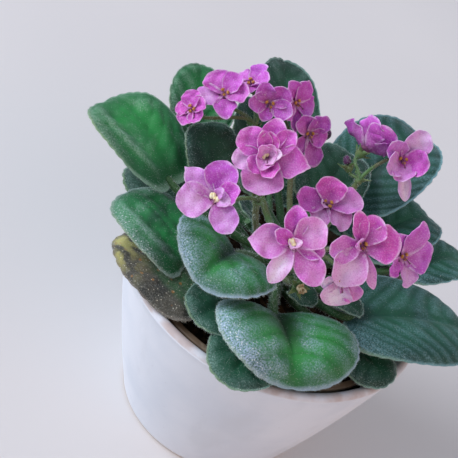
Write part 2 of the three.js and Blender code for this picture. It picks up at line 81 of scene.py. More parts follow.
def unit(vector: Array) -> Array:
    """Returns a vector scaled to length one."""
    return vector / np.linalg.norm(vector)


def heading(degrees: float) -> Array:
    """Returns the level direction at a compass angle, counted from +X towards +Y."""
    angle = math.radians(degrees)
    return np.array([math.cos(angle), math.sin(angle), 0.0])


def smooth(values: Array, low: float, high: float) -> Array:
    """Eases values from 0 at low to 1 at high, and holds them outside.

    Args:
        values: what is eased.
        low: the value that gives 0.
        high: the value that gives 1.

    Returns:
        The eased values, between 0 and 1.
    """
    share = np.clip((values - low) / (high - low), 0.0, 1.0)
    return share * share * (3.0 - 2.0 * share)


def bell(values: Array, width: float) -> Array:
    """Returns 1 where the values are 0, falling off within about this width on both sides."""
    return np.exp(-(values / width) ** 2)


def waving(turn: Array, phases: Array, waves: Sequence[Pair]) -> Array:
    """Adds up the waves of a margin.

    Args:
        turn: the angle round the sheet's middle.
        phases: where each wave starts.
        waves: how many crests each wave has, and how high they are.

    Returns:
        How far the margin stands up or down at each angle.
    """
    return sum(high * np.sin(crests * turn + phase) for (crests, high), phase in zip(waves, phases))


def seeded(name: str) -> np.random.Generator:
    """Returns a random source of its own for a named piece, the same on every run."""
    return np.random.default_rng(zlib.crc32(name.encode()))


def arc(centre: Pair, radius: float, start: float, end: float, steps: int) -> Profile:
    """Walks a round stretch of a turned profile.

    Args:
        centre: its centre, as (distance from the axis, height).
        radius: its radius.
        start: the first angle in degrees, counted from outwards towards up.
        end: the last angle.
        steps: how many straight steps stand for it.

    Returns:
        The points along it, both ends included.
    """
    angles = np.radians(np.linspace(start, end, steps + 1))
    return [(centre[0] + radius * math.cos(a), centre[1] + radius * math.sin(a)) for a in angles]


def deselect() -> None:
    """Clears the selection, so that an operator acts on nothing but the piece in hand."""
    bpy.ops.object.select_all(action="DESELECT")


def take(piece: Piece) -> Piece:
    """Makes a piece the only selected and active one."""
    deselect()
    piece.select_set(True)
    bpy.context.view_layer.objects.active = piece
    return piece


def fresh(name: str) -> Piece:
    """Names the primitive that an operator has just added, and returns it."""
    piece = bpy.context.view_layer.objects.active
    piece.name = name
    return piece


def points_of(piece: Piece) -> Array:
    """Returns a piece's vertices in millimetres, one row each."""
    flat = np.empty(3 * len(piece.data.vertices))
    piece.data.vertices.foreach_get("co", flat)
    return flat.reshape(-1, 3) / MM


def move_points(piece: Piece, points: Array) -> None:
    """Puts a piece's vertices at these places, in millimetres."""
    piece.data.vertices.foreach_set("co", (points * MM).ravel())
    piece.data.update()


def paint(piece: Piece, **values: Array) -> None:
    """Stores one number per vertex under each name, for the finishes to read."""
    for name, numbers in values.items():
        store = piece.data.attributes.new(name, "FLOAT", "POINT")
        store.data.foreach_set("value", np.asarray(numbers, np.float32))


def painted(piece: Piece, name: str) -> Array:
    """Returns the numbers that paint() stored under a name."""
    store = piece.data.attributes[name]
    numbers = np.empty(len(piece.data.vertices), np.float32)
    store.data.foreach_get("value", numbers)
    return numbers


def join(pieces: Sequence[Piece], name: str) -> Piece:
    """Joins pieces into one under a new name, keeping each one's finish."""
    deselect()
    for piece in pieces:
        piece.select_set(True)
    bpy.context.view_layer.objects.active = pieces[0]
    if len(pieces) > 1:
        bpy.ops.object.join()
    whole = fresh(name)
    whole.data.name = name
    return whole


def shade(piece: Piece, degrees: float = 60.0) -> Piece:
    """Shades a piece smooth, apart from edges sharper than the angle."""
    take(piece)
    bpy.ops.object.shade_smooth_by_angle(angle=math.radians(degrees))
    return piece


def settle(piece: Piece, node: str) -> None:
    """Hands a finished piece to the frame in place of its plain node, and reports it.

    Args:
        piece: the finished piece.
        node: the frame's node that it stands for.
    """
    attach(piece, BODY)
    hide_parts(node)
    low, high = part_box(node)
    corners = points_of(piece)
    beyond = max(
        float((np.array(low) / MM - corners.min(0)).max()),
        float((corners.max(0) - np.array(high) / MM).max()),
    )
    log.info("%s: %d faces, %.1f mm beyond its node", node, len(piece.data.polygons), beyond)


# ---------------------------------------------------------------- modelling by operators


@dataclass(frozen=True)
class Disc:
    """A round sheet that a leaf or petal starts from, and its vertices on a disc of radius one."""

    piece: Piece
    x: Array                     # across
    y: Array                     # along
    half: Array                  # the disc's half width at that y
    s: Array                     # across, as a share of that half width
    r: Array                     # distance from the middle, which is 1 on the margin
    turn: Array                  # angle round the middle

    @classmethod
    def sheet(cls, name: str, cells: int) -> "Disc":
        """Lays a sheet with so many cells each way."""
        deselect()
        bpy.ops.mesh.primitive_grid_add(x_subdivisions=cells, y_subdivisions=cells, size=2)
        piece = fresh(name)
        square = points_of(piece) * MM
        u, v = square[:, 0], square[:, 1]
        x, y = u * np.sqrt(1 - v * v / 2), v * np.sqrt(1 - u * u / 2)
        half = np.sqrt(np.maximum(1 - y * y, 1e-9))
        s, r = np.clip(x / half, -1, 1), np.clip(np.hypot(x, y), 0, 1)
        return cls(piece, x, y, half, s, r, np.arctan2(x, y))


def thicken(piece: Piece, thickness: float, rim: float, back: int = 0) -> None:
    """Gives a sheet its body, which thins towards the margin.

    Args:
        piece: the sheet, painted with "edge", which is 1 on its margin.
        thickness: its thickness in the middle.
        rim: its thickness at the margin, as a share of that.
        back: how many material slots further on the back's finish lies.
    """
    edge = painted(piece, "edge")
    group = piece.vertex_groups.new(name="body")
    for index, weight in enumerate(1.0 - smooth(edge, 0.7, 1.0)):
        group.add([index], float(weight), "REPLACE")
    take(piece)
    bpy.ops.object.modifier_add(type="SOLIDIFY")
    wall = piece.modifiers[-1]
    wall.thickness = thickness * MM
    wall.offset = 0
    wall.vertex_group = "body"
    wall.thickness_vertex_group = rim
    wall.material_offset = back
    bpy.ops.object.modifier_apply(modifier=wall.name)
    piece.vertex_groups.clear()


def ordered(piece: Piece) -> Piece:
    """Lists a turned body's corners and faces in the order of their places.

    Spinning leaves them in another order on each run, and the hairs are drawn from that list.
    """
    places = points_of(piece)
    order = np.lexsort(places.T)
    rank = np.argsort(order).tolist()
    faces = sorted([rank[corner] for corner in face.vertices] for face in piece.data.polygons)
    piece.data.clear_geometry()
    piece.data.from_pydata((places[order] * MM).tolist(), [], faces)
    return piece


def spun(name: str, profile: Profile, steps: int) -> Piece:
    """Turns a profile about the Z axis into a closed body.

    Args:
        name: the piece's name.
        profile: (distance from the axis, height) points that start and end on the axis.
        steps: how many sides the body has.

    Returns:
        The closed body, its faces pointing outwards.
    """
    deselect()
    bpy.ops.mesh.primitive_plane_add(size=MM)
    piece = fresh(name)
    bpy.ops.object.mode_set(mode="EDIT")
    bpy.ops.mesh.merge(type="CENTER")
    bpy.ops.transform.translate(value=(profile[0][0] * MM, 0, profile[0][1] * MM))
    for before, after in zip(profile, profile[1:]):
        step = ((after[0] - before[0]) * MM, 0, (after[1] - before[1]) * MM)
        bpy.ops.mesh.extrude_region_move(TRANSFORM_OT_translate={"value": step})
    bpy.ops.mesh.select_all(action="SELECT")
    bpy.ops.mesh.spin(steps=steps, angle=2 * math.pi, center=(0, 0, 0), axis=(0, 0, 1))
    bpy.ops.mesh.select_all(action="SELECT")
    bpy.ops.mesh.remove_doubles(threshold=0.01 * MM)
    bpy.ops.mesh.normals_make_consistent(inside=False)
    bpy.ops.object.mode_set(mode="OBJECT")
    return ordered(piece)


def tube(name: str, course: Sequence[Array], radii: Pair, steps: int) -> Piece:
    """Lays a round bar along a Bezier course.

    Args:
        name: the piece's name.
        course: the start, its handle, the end's handle and the end.
        radii: the radius at the start and at the end.
        steps: how many rings stand between the ends.

    Returns:
        The capped bar as a mesh.
    """
    deselect()
    bpy.ops.curve.primitive_bezier_curve_add()
    line = fresh(name).data
    line.dimensions = "3D"
    line.resolution_u = steps
    line.bevel_depth = MM
    line.bevel_resolution = 2
    line.use_fill_caps = True
    start, start_handle, end_handle, end = (Vector(place * MM) for place in course)
    first, last = line.splines[0].bezier_points
    for point in (first, last):
        point.handle_left_type = point.handle_right_type = "FREE"
    first.co, first.handle_right = start, start_handle
    last.co, last.handle_left = end, end_handle
    first.handle_left, last.handle_right = 2 * start - start_handle, 2 * end - end_handle
    first.radius, last.radius = radii
    bpy.ops.object.convert(target="MESH")
    return bpy.context.view_layer.objects.active


def ball(name: str, radius: float, place: Array, segments: int, rings: int) -> Piece:
    """Adds a small round ball, with its place in its mesh.

    Args:
        name: its name.
        radius: its radius.
        place: its middle.
        segments: how many sides it has round its axis.
        rings: how many rings it has from pole to pole.

    Returns:
        The ball, selected.
    """
    deselect()
    bpy.ops.mesh.primitive_uv_sphere_add(
        segments=segments, ring_count=rings, radius=radius * MM, location=place * MM
    )
    piece = take(fresh(name))
    bpy.ops.object.transform_apply(location=True, rotation=True, scale=True)
    return ordered(piece)


def many(name: str, corners: Array, faces: Sequence[Sequence[int]]) -> Piece:
    """Makes one piece of many small copies, from their corners in millimetres and their faces."""
    mesh = bpy.data.meshes.new(name)
    mesh.from_pydata((corners * MM).tolist(), [], faces)
    piece = bpy.data.objects.new(name, mesh)
    bpy.context.scene.collection.objects.link(piece)
    return piece


def turned_to(piece: Piece, axes: "Axes") -> Piece:
    """Moves a piece built on the Z axis so that it stands on a flower's facing direction."""
    columns = np.column_stack([axes.right, axes.up, axes.face])
    place = Matrix(columns.tolist()).to_4x4()
    place.translation = Vector(axes.centre * MM)
    piece.data.transform(place)
    return piece


def copy_of(piece: Piece, name: str) -> Piece:
    """Copies a modelled piece together with its mesh."""
    twin = piece.copy()
    twin.data = piece.data.copy()
    twin.name = name
    bpy.context.scene.collection.objects.link(twin)
    return twin


def remove(piece: Piece) -> None:
    """Takes a pattern piece away once its copies are made."""
    bpy.data.objects.remove(piece)


def dress(piece: Piece, *materials: Material) -> Piece:
    """Gives a piece its material slots, in order."""
    piece.data.materials.clear()
    for material in materials:
        piece.data.materials.append(material)
    return piece


@dataclass(frozen=True)
class Fuzz:
    """A coat of short hairs, each a closed four-sided spike."""

    count: int
    length: float
    width: float                 # from a hair's middle to a corner of its foot
    lean: float                  # how far the hairs stray from standing upright
    foot: float = 0.1            # how deep they start under the skin
    lengths: Pair = (0.6, 1.25)  # the shortest and the longest, as shares of the length

    def grow(self, piece: Piece, skin: Material, chance: Optional[Array] = None) -> Piece:
        """Grows the hairs out of a piece's skin.

        Args:
            piece: the piece that carries them.
            skin: the hairs' finish.
            chance: how likely a hair is at each vertex, or None for even growth.

        Returns:
            The hairs as one mesh.
        """
        rng = seeded(piece.name + "_fuzz")
        mesh = piece.data
        mesh.calc_loop_triangles()
        corners = np.empty(3 * len(mesh.loop_triangles), np.int32)
        mesh.loop_triangles.foreach_get("vertices", corners)
        corners = corners.reshape(-1, 3)
        surface = points_of(piece)
        outward = np.empty(3 * len(mesh.vertices))
        mesh.vertices.foreach_get("normal", outward)
        outward = outward.reshape(-1, 3)
        a, b, c = (surface[corners[:, k]] for k in range(3))
        weight = np.linalg.norm(np.cross(b - a, c - a), axis=1)
        if chance is not None:
            weight = weight * chance[corners].mean(axis=1)
        chosen = rng.choice(len(corners), self.count, p=weight / weight.sum())
        share = rng.dirichlet((1, 1, 1), self.count)
        root = np.einsum("nk,nkd->nd", share, surface[corners[chosen]])
        normal = np.einsum("nk,nkd->nd", share, outward[corners[chosen]])
        normal /= np.maximum(np.linalg.norm(normal, axis=1, keepdims=True), 1e-6)
        tilt = normal + self.lean * rng.normal(size=normal.shape)
        tilt /= np.linalg.norm(tilt, axis=1, keepdims=True)
        side = np.cross(tilt, rng.normal(size=normal.shape))
        side /= np.linalg.norm(side, axis=1, keepdims=True)
        other = np.cross(tilt, side)
        reach = self.length * rng.uniform(*self.lengths, (self.count, 1))
        ring = [
            root + self.width * (math.cos(turn) * side + math.sin(turn) * other) - self.foot * tilt
            for turn in (0.0, 2.1, 4.2)
        ]
        spikes = np.stack([*ring, root + reach * tilt], axis=1).reshape(-1, 3)
        first = 4 * np.arange(self.count)[:, None]
        sides = [(0, 1, 3), (1, 2, 3), (2, 0, 3), (2, 1, 0)]
        faces = np.concatenate([first + np.array(one) for one in sides])
        return dress(many(piece.name + "_fuzz", spikes, faces.tolist()), skin)


# ---------------------------------------------------------------- finishes


def colour(code: str) -> Tuple[float, float, float, float]:
    """Turns a six-digit web colour into the linear colour that a shader takes."""
    parts = [int(code[k:k + 2], 16) / 255 for k in (0, 2, 4)]
    linear = [p / 12.92 if p <= 0.04045 else ((p + 0.055) / 1.055) ** 2.4 for p in parts]
    return (linear[0], linear[1], linear[2], 1.0)


class Board:
    """One material's node tree, with a short call for each thing that the finishes share.

    A tint is a web colour or another node's output.
    """

    def __init__(self, name: str) -> None:
        """Starts a material with a bare Principled shader."""
        self.material = bpy.data.materials.new(name)
        self.material.use_nodes = True
        self.tree = self.material.node_tree
        self.shader = next(n for n in self.tree.nodes if n.type == "BSDF_PRINCIPLED")
        self.place = self.tree.nodes.new("ShaderNodeTexCoord").outputs["Object"]
        self.paint: object = None

    def feed(self, socket: Socket, value: object) -> None:
        """Links a socket to another node's output, or sets its plain value or web colour."""
        if isinstance(value, Socket):
            self.tree.links.new(value, socket)
        elif isinstance(value, str):
            socket.default_value = colour(value)
        else:
            socket.default_value = value

    def mix(self, first: object, second: object, share: object) -> Socket:
        """Lays the second tint over the first, by a share from 0 to 1."""
        node = self.tree.nodes.new("ShaderNodeMix")
        node.data_type = "RGBA"
        self.feed(node.inputs[0], share)
        self.feed(node.inputs[6], first)
        self.feed(node.inputs[7], second)
        return node.outputs[2]

    def ground(self, first: object, second: object, share: object) -> None:
        """Starts the paint with two tints, the second over the first by a share."""
        self.paint = self.mix(first, second, share)

    def lay(self, tint: object, share: object) -> None:
        """Lays one more tint over the paint, by a share from 0 to 1."""
        self.paint = self.mix(self.paint, tint, share)

    def finish(self, **values: object) -> None:
        """Puts the paint on the shader, and sets its other sockets by name, with _ for a space."""
        self.feed(self.shader.inputs["Base Color"], self.paint)
        for name, value in values.items():
            self.feed(self.shader.inputs[name.replace("_", " ")], value)

    def attribute(self, name: str) -> Socket:
        """Reads a number painted on the mesh."""
        node = self.tree.nodes.new("ShaderNodeAttribute")
        node.attribute_name = name
        return node.outputs["Fac"]

    def height(self) -> Socket:
        """Reads the height above the ground, in metres."""
        node = self.tree.nodes.new("ShaderNodeSeparateXYZ")
        self.feed(node.inputs[0], self.place)
        return node.outputs["Z"]

    def noise(self, scale: float, detail: float = 2.0, stretch: Triple = (1, 1, 1)) -> Socket:
        """Soft random patches, scale of them to a metre."""
        turn = self.tree.nodes.new("ShaderNodeMapping")
        turn.inputs["Scale"].default_value = stretch
        self.feed(turn.inputs["Vector"], self.place)
        node = self.tree.nodes.new("ShaderNodeTexNoise")
        self.feed(node.inputs["Vector"], turn.outputs["Vector"])
        node.inputs["Scale"].default_value = scale
        node.inputs["Detail"].default_value = detail
        return node.outputs["Fac"]

    def cells(self, scale: float) -> Tuple[Socket, Socket]:
        """Random cells, scale of them to a metre: how far each one's middle is, and its colour."""
        node = self.tree.nodes.new("ShaderNodeTexVoronoi")
        self.feed(node.inputs["Vector"], self.place)
        node.inputs["Scale"].default_value = scale
        return node.outputs["Distance"], node.outputs["Color"]

    def math(self, operation: str, first: object, second: object) -> Socket:
        """Works out one step of arithmetic."""
        node = self.tree.nodes.new("ShaderNodeMath")
        node.operation = operation
        self.feed(node.inputs[0], first)
        self.feed(node.inputs[1], second)
        return node.outputs["Value"]

    def times(self, first: object, second: object) -> Socket:
        """Multiplies two values."""
        return self.math("MULTIPLY", first, second)

    def plus(self, first: object, second: object) -> Socket:
        """Adds two values."""
        return self.math("ADD", first, second)

    def band(self, value: object, low: float, high: float, most: float = 1.0) -> Socket:
        """Eases a value from 0 at low to most at high."""
        node = self.tree.nodes.new("ShaderNodeMapRange")
        node.interpolation_type = "SMOOTHSTEP"
        self.feed(node.inputs["Value"], value)
        node.inputs["From Min"].default_value = low
        node.inputs["From Max"].default_value = high
        node.inputs["To Max"].default_value = most
        return node.outputs["Result"]

    def patches(self, scale: float, low: float, high: float, most: float = 1.0,
                detail: float = 2.0) -> Socket:
        """Eases random patches, scale of them to a metre, from 0 at low to most at high."""
        return self.band(self.noise(scale, detail), low, high, most)

    def specks(self, scale: float, size: Pair, chance: Sequence[float]) -> Socket:
        """Scatters round specks.

        Args:
            scale: how many cells there are to a metre.
            size: how far from its middle a speck ends, and where it is full.
            chance: the band of the cells' random colours in which specks fade in.

        Returns:
            1 inside the specks and 0 between them.
        """
        near, pick = self.cells(scale)
        return self.times(self.band(near, *size), self.band(pick, *chance))

    def bump(self, height: object, depth: float, strength: float) -> None:
        """Makes the skin uneven: a height from 0 to 1, and its depth in millimetres."""
        node = self.tree.nodes.new("ShaderNodeBump")
        node.inputs["Strength"].default_value = strength
        node.inputs["Distance"].default_value = depth * MM
        self.feed(node.inputs["Height"], height)
        self.feed(self.shader.inputs["Normal"], node.outputs["Normal"])

    def veins(self) -> Socket:
        """Gives 1 on a leaf's side veins and midrib, and 0 away from them."""
        side = self.math("PINGPONG", self.attribute("vein"), 0.5)
        lines = self.band(side, 0.11, 0.0)
        rib = self.band(self.attribute("rib"), 1.1, 0.3)
        return self.math("MAXIMUM", lines, rib)


@dataclass(frozen=True)
class LeafFinish:
    """A leaf's velvety upper skin: deep green, quilted along the veins, under pale hairs."""

    name: str
    deep: str                    # in the shade of the rosette and along the veins
    mid: str
    lively: str                  # where light glows through the middle of the blade
    bloom: str                   # hairs seen all together
    glow: float                  # how much of the lively green shows
    frost: float                 # how much of the bloom lies on the side that catches the light
    swell: float                 # how much painted sheen of the bloom lies on the swellings and folds
    lines: float                 # how dark the veins are
    sparkle: float               # how strong the painted glints of single hairs are
    # painted glints of the hairs
    glint_tint: str = "e6eff0"
    shadow: str = "0a1c13"       # down in the fold by the stalk
    margin: str = "a5bb72"       # where the light shines through the rim
    sheen: str = "cfe2ea"

    def material(self) -> Material:
        """Builds the finish."""
        board = Board(self.name)
        edge, dust = board.attribute("edge"), board.attribute("dust")
        board.ground(self.deep, self.mid, board.patches(42, 0.35, 0.65))
        heart = board.band(edge, 0.98, 0.35, self.glow)
        board.lay(self.lively, board.times(heart, board.patches(55, 0.3, 0.55, detail=3)))
        board.lay(self.deep, board.times(board.veins(), self.lines))
        pile = board.noise(1500, 3)
        grain = board.plus(board.band(pile, 0.38, 0.62, 0.8), 0.2)
        # painted sheen of the hairs on the swellings and folds
        ridge = board.band(board.attribute("ridge"), 0.0, 1.0, self.swell)
        board.lay(self.bloom, board.times(ridge, grain))
        # random frost patches, and painted sheen of the hairs on the side that faces the light
        frost_and_sheen = board.math("MAXIMUM", board.patches(85, 0.5, 0.7, 0.45, detail=3), dust)
        board.lay(self.bloom, board.times(board.times(frost_and_sheen, grain), self.frost))
        # painted glints of single hairs, strongest where the sheen is painted
        glint = board.specks(1050, (0.34, 0.14), (0.4, 0.52))
        glint = board.times(glint, board.plus(frost_and_sheen, 0.12))
        board.lay(self.glint_tint, board.times(glint, self.sparkle))
        # painted shade down in the fold by the stalk
        board.lay(self.shadow, board.times(board.attribute("dip"), 0.8))
        # the pale hairy rim, with painted light shining through it on the side that faces the light
        rim = board.mix(self.bloom, self.margin, board.times(dust, 0.7))
        board.lay(rim, board.band(edge, 0.94, 1.0, 0.5))
        board.finish(Roughness=0.6, Specular_IOR_Level=0.35,
                     Sheen_Weight=0.25, Sheen_Roughness=0.35, Sheen_Tint=self.sheen)
        board.bump(board.plus(pile, board.times(glint, 0.8)), 0.16, 0.6)
        return board.material


@dataclass(frozen=True)
class OldLeafFinish:
    """An ageing leaf: grey-brown and spotted, olive at the tip, with one green stripe left."""

    name: str = "old_leaf_skin"
    dark: str = "272b27"
    brown: str = "4b4a40"
    olive: str = "b9b468"
    stripe: str = "2c5a34"
    spot: str = "a3702f"
    nap: str = "b0b2a8"
    rim: str = "8b857c"
    # painted glints of the hairs
    glint_tint: str = "dcd9c4"

    def material(self) -> Material:
        """Builds the finish."""
        board = Board(self.name)
        along, edge = board.attribute("run"), board.attribute("edge")
        board.ground(self.dark, self.brown, board.patches(90, 0.35, 0.65, detail=3))
        olive = board.patches(140, 0.4, 0.56, detail=3)
        board.lay(self.olive, board.times(board.band(along, 0.4, 1.0), olive))
        stripe = board.band(board.attribute("rib"), 9.0, 4.0)
        board.lay(self.stripe, board.times(stripe, board.band(along, 0.75, 0.4)))
        board.lay(self.spot, board.times(board.specks(330, (0.3, 0.16), (0.5, 0.6)), 0.7))
        pile = board.noise(1400, 3)
        board.lay(self.nap, board.band(pile, 0.45, 0.7, 0.2))
        board.lay(self.rim, board.band(edge, 0.93, 1.0, 0.5))
        # painted glints of the hairs
        board.lay(self.glint_tint, board.times(board.specks(800, (0.24, 0.1), (0.4, 0.55)), 0.75))
        board.finish(Roughness=0.75, Sheen_Weight=0.3, Sheen_Roughness=0.4)
        board.bump(board.plus(pile, board.noise(240, 3)), 0.3, 0.8)
        return board.material


@dataclass(frozen=True)
class UndersideFinish:
    """The paler, silvery back of a leaf, with its veins showing."""

    name: str = "leaf_underside"
    deep: str = "6d8f6d"
    mid: str = "88a583"
    vein: str = "a7b893"
    nap: str = "bccbb8"

    def material(self) -> Material:
        """Builds the finish."""
        board = Board(self.name)
        board.ground(self.deep, self.mid, board.patches(70, 0.3, 0.7))
        board.lay(self.vein, board.times(board.veins(), 0.6))
        pile = board.noise(1300, 3)
        board.lay(self.nap, board.band(pile, 0.45, 0.7, 0.35))
        board.finish(Roughness=0.75, Sheen_Weight=0.3, Sheen_Roughness=0.4)
        board.bump(pile, 0.15, 0.6)
        return board.material


@dataclass(frozen=True)
class FuzzFinish:
    """The hairs themselves, glassy white."""

    name: str
    tint: str
    pale: str = "e4efec"

    def material(self) -> Material:
        """Builds the finish."""
        board = Board(self.name)
        board.ground(self.tint, self.pale, board.patches(400, 0.45, 0.7))
        board.finish(Roughness=0.5, Specular_IOR_Level=0.4)
        return board.material


@dataclass(frozen=True)
class StemFinish:
    """Leaf stalks and flower stalks: olive green flushed with reddish brown."""

    name: str
    green: str
    flush: str
    nap: str = "a9bb96"

    def material(self) -> Material:
        """Builds the finish."""
        board = Board(self.name)
        board.ground(self.green, self.flush, board.patches(75, 0.35, 0.65, detail=3))
        pile = board.noise(1600, 3)
        board.lay(self.nap, board.band(pile, 0.45, 0.75, 0.25))
        board.finish(Roughness=0.6, Sheen_Weight=0.3, Sheen_Roughness=0.4)
        board.bump(pile, 0.12, 0.7)
        return board.material


@dataclass(frozen=True)
class PetalFinish:
    """A petal's granular skin: orchid pink to violet, deep at the throat, pale at the rim."""

    name: str = "petal_skin"
    pink: str = "dc5cc0"
    violet: str = "bd5ed8"
    deep: str = "a8359c"         # darker towards the throat, and painted shade in the hollows
    cloud: str = "f0bcee"
    vein: str = "a04aa6"
    pale: str = "f1dcf4"
    throat: str = "7a2f70"
    glint: str = "f8e2f8"
    sheen: str = "f0e0ff"

    def material(self) -> Material:
        """Builds the finish."""
        board = Board(self.name)
        edge, run = board.attribute("edge"), board.attribute("run")
        board.ground(self.pink, self.violet, board.attribute("tint"))
        inner = board.band(run, 0.75, 0.2, 0.75)
        board.lay(self.deep, board.times(inner, board.patches(90, 0.2, 0.6, detail=1)))
        # painted shade in the hollows of the face and down the crease
        board.lay(self.deep, board.times(board.attribute("hollow"), 0.5))
        board.lay(self.cloud, board.patches(90, 0.42, 0.75, 0.22, detail=1))
        stray = board.times(board.noise(160), 0.6)
        fan = board.plus(board.times(board.attribute("fan"), 5.0), stray)
        line = board.band(board.math("PINGPONG", fan, 0.5), 0.14, 0.0)
        board.lay(self.vein, board.times(line, board.band(edge, 0.95, 0.5, 0.35)))
        board.lay(self.pale, board.attribute("pale"))
        rim = board.patches(420, 0.3, 0.6, 0.6, detail=3)
        board.lay(self.pale, board.times(board.band(edge, 0.9, 1.0), rim))
        board.lay(self.throat, board.band(run, 0.26, 0.08, 0.8))
        grain = board.noise(1900, 1)
        board.lay(self.glint, board.band(grain, 0.5, 0.75, 0.25))
        board.lay(self.deep, board.band(grain, 0.48, 0.25, 0.35))
        board.finish(Roughness=0.55, Specular_IOR_Level=0.3,
                     Sheen_Weight=0.12, Sheen_Roughness=0.4, Sheen_Tint=self.sheen,
                     Subsurface_Weight=0.15, Subsurface_Scale=0.002,
                     Subsurface_Radius=(1.0, 0.4, 0.9))
        board.bump(board.plus(grain, board.noise(420, 3)), 0.22, 0.7)
        return board.material


@dataclass(frozen=True)
class GrainFinish:
    """Any small thing with two colours in fine grains: pollen, a bud, a bract, dried petals."""

    name: str
    first: str
    second: str
    scale: float
    roughness: float = 0.65

    def material(self) -> Material:
        """Builds the finish."""
        board = Board(self.name)
        board.ground(self.first, self.second, board.patches(self.scale, 0.35, 0.65, detail=3))
        board.finish(Roughness=self.roughness, Sheen_Weight=0.15)
        board.bump(board.noise(2.5 * self.scale, 3), 0.12, 0.6)
        return board.material


@dataclass(frozen=True)
class CeramicFinish:
    """Matte white glaze with faint grey clouds, thin and pinkish on the lip, bare at the foot."""

    name: str = "white_ceramic"
    glaze: str = "dce0e7"
    cloud: str = "cbd2dc"
    streak: str = "c8ccd2"
    speck: str = "a9a7a6"
    thin: str = "b9a69f"
    clay: str = "d8c8b6"
    lip_height: float = 89.0
    foot_height: float = 0.9

    def material(self) -> Material:
        """Builds the finish."""
        board = Board(self.name)
        board.ground(self.glaze, self.cloud, board.patches(26, 0.38, 0.66, 0.6, detail=4))
        board.lay(self.streak, board.band(board.noise(60, 5, (1, 1, 0.25)), 0.53, 0.7, 0.35))
        board.lay(self.speck, board.specks(260, (0.16, 0.06), (0.72, 0.8, 0.2)))
        height = board.height()
        lip = board.band(height, (self.lip_height - 0.8) * MM, self.lip_height * MM)
        board.lay(self.thin, board.times(lip, board.patches(120, 0.3, 0.7, 0.8, detail=3)))
        foot = board.band(height, (self.foot_height + 0.3) * MM, self.foot_height * MM)
        board.lay(self.clay, foot)
        board.finish(Specular_IOR_Level=0.35,
                     Roughness=board.plus(board.patches(60, 0.3, 0.7, 0.12), 0.52))
        board.bump(board.noise(30, 1), 0.1, 0.2)
        return board.material


@dataclass(frozen=True)
class PlasticFinish:
    """Thin brown nursery plastic, dusted with dried peat and lime."""

    name: str = "brown_plastic"
    dark: str = "6b5948"
    brown: str = "806c57"
    lime: str = "a99b86"

    def material(self) -> Material:
        """Builds the finish."""
        board = Board(self.name)
        board.ground(self.dark, self.brown, board.patches(50, 0.4, 0.65, detail=3))
        board.lay(self.lime, board.patches(160, 0.55, 0.72, 0.6, detail=4))
        board.finish(Roughness=board.patches(240, 0.0, 1.0, 0.9))
        board.bump(board.noise(420, 2), 0.1, 0.4)
        return board.material


@dataclass(frozen=True)
class PeatFinish:
    """Dark crumbly peat."""

    name: str = "peat"
    dark: str = "1f1610"
    brown: str = "3d2b1d"
    fibre: str = "5c452f"

    def material(self) -> Material:
        """Builds the finish."""
        board = Board(self.name)
        near, pick = board.cells(420)
        board.ground(self.dark, self.brown, board.patches(160, 0.35, 0.65, detail=4))
        board.lay(self.fibre, board.band(pick, 0.62, 0.7, 0.5))
        board.finish(Roughness=0.95, Specular_IOR_Level=0.2)
        board.bump(board.plus(near, board.noise(500, 4)), 0.8, 0.9)
        return board.material


class LeafTone(Enum):
    """Which upper skin a leaf has."""

    VIVID = LeafFinish("leaf_vivid", "226339", "2a7746", "248a40", "a8cbb4",
                       glow=0.85, frost=0.55, swell=0.5, lines=0.15, sparkle=0.4)
    DUSTED = LeafFinish("leaf_dusted", "1a5032", "287546", "279048", "b2c6c8",
                        glow=0.8, frost=0.6, swell=0.4, lines=0.2, sparkle=1.0)
    # partly painted shade: a darker copy of the skin for the leaves low down, at the back and
    # inside the rosette
    DEEP = LeafFinish("leaf_deep", "0f3226", "194c38", "1f6540", "8fb8ae",
                      glow=0.4, frost=0.28, swell=0.12, lines=0.22, sparkle=0.2)
    BLUE = LeafFinish("leaf_blue", "0f3d34", "185241", "1f6c4b", "93c4cf",
                      glow=0.5, frost=0.35, swell=0.28, lines=0.22, sparkle=0.2)
    FROSTED = LeafFinish("leaf_frosted", "1a522f", "2a713d", "319340", "bfd2f4",
                         glow=0.9, frost=0.75, swell=0.36, lines=0.3, sparkle=1.0)
    OLD = OldLeafFinish()


class Wardrobe:
    """Every finish, built once and shared by the pieces that wear it."""

    def __init__(self) -> None:
        """Builds the finishes."""
        self.leaf = {tone: tone.value.material() for tone in LeafTone}
        self.underside = UndersideFinish().material()
        self.fuzz = FuzzFinish("leaf_fuzz", "a9c2b6").material()
        self.old_fuzz = FuzzFinish("old_leaf_fuzz", "b9b4a4").material()
        # the leaf stalks' deeper green is partly painted shade from the rosette above them; the
        # crown wears it too
        self.petiole = StemFinish("petiole_skin", "235a2c", "2f5c2c").material()
        self.stalk = StemFinish("stalk_skin", "4c7a40", "6a6c46").material()
        self.sepal = GrainFinish("sepal_skin", "4f7a43", "6a7d4a", 260).material()
        self.petal = PetalFinish().material()
        self.throat = GrainFinish("throat_skin", "5d2350", "7c3d63", 600).material()
        self.pollen = GrainFinish("pollen", "e8dc9a", "f3efcf", 900, 0.8).material()
        self.filament = GrainFinish("filament", "9a5a3a", "c08a52", 600).material()
        self.rust = GrainFinish("spent_pollen", "a8702f", "d39a4c", 900, 0.8).material()
        self.style = GrainFinish("style_skin", "6b2f5f", "8c4a6e", 600, 0.5).material()
        self.bud = GrainFinish("bud_skin", "3a1a3c", "5d2c5c", 420, 0.5).material()
        self.spent = GrainFinish("spent_skin", "d8cda8", "a98f68", 380, 0.85).material()
        self.ceramic = CeramicFinish().material()
        self.plastic = PlasticFinish().material()
        self.peat = PeatFinish().material()
        self.perlite = GrainFinish("perlite", "d9d5ca", "bdb7a9", 500, 0.9).material()


# ---------------------------------------------------------------- pots and soil


def wall_radius(foot: float, rim: float, belly: float, share: float) -> float:
    """Returns a pot's radius at a share of its height: a cone that swells at mid height."""
    return foot + (rim - foot) * share + 4 * belly * share * (1 - share)


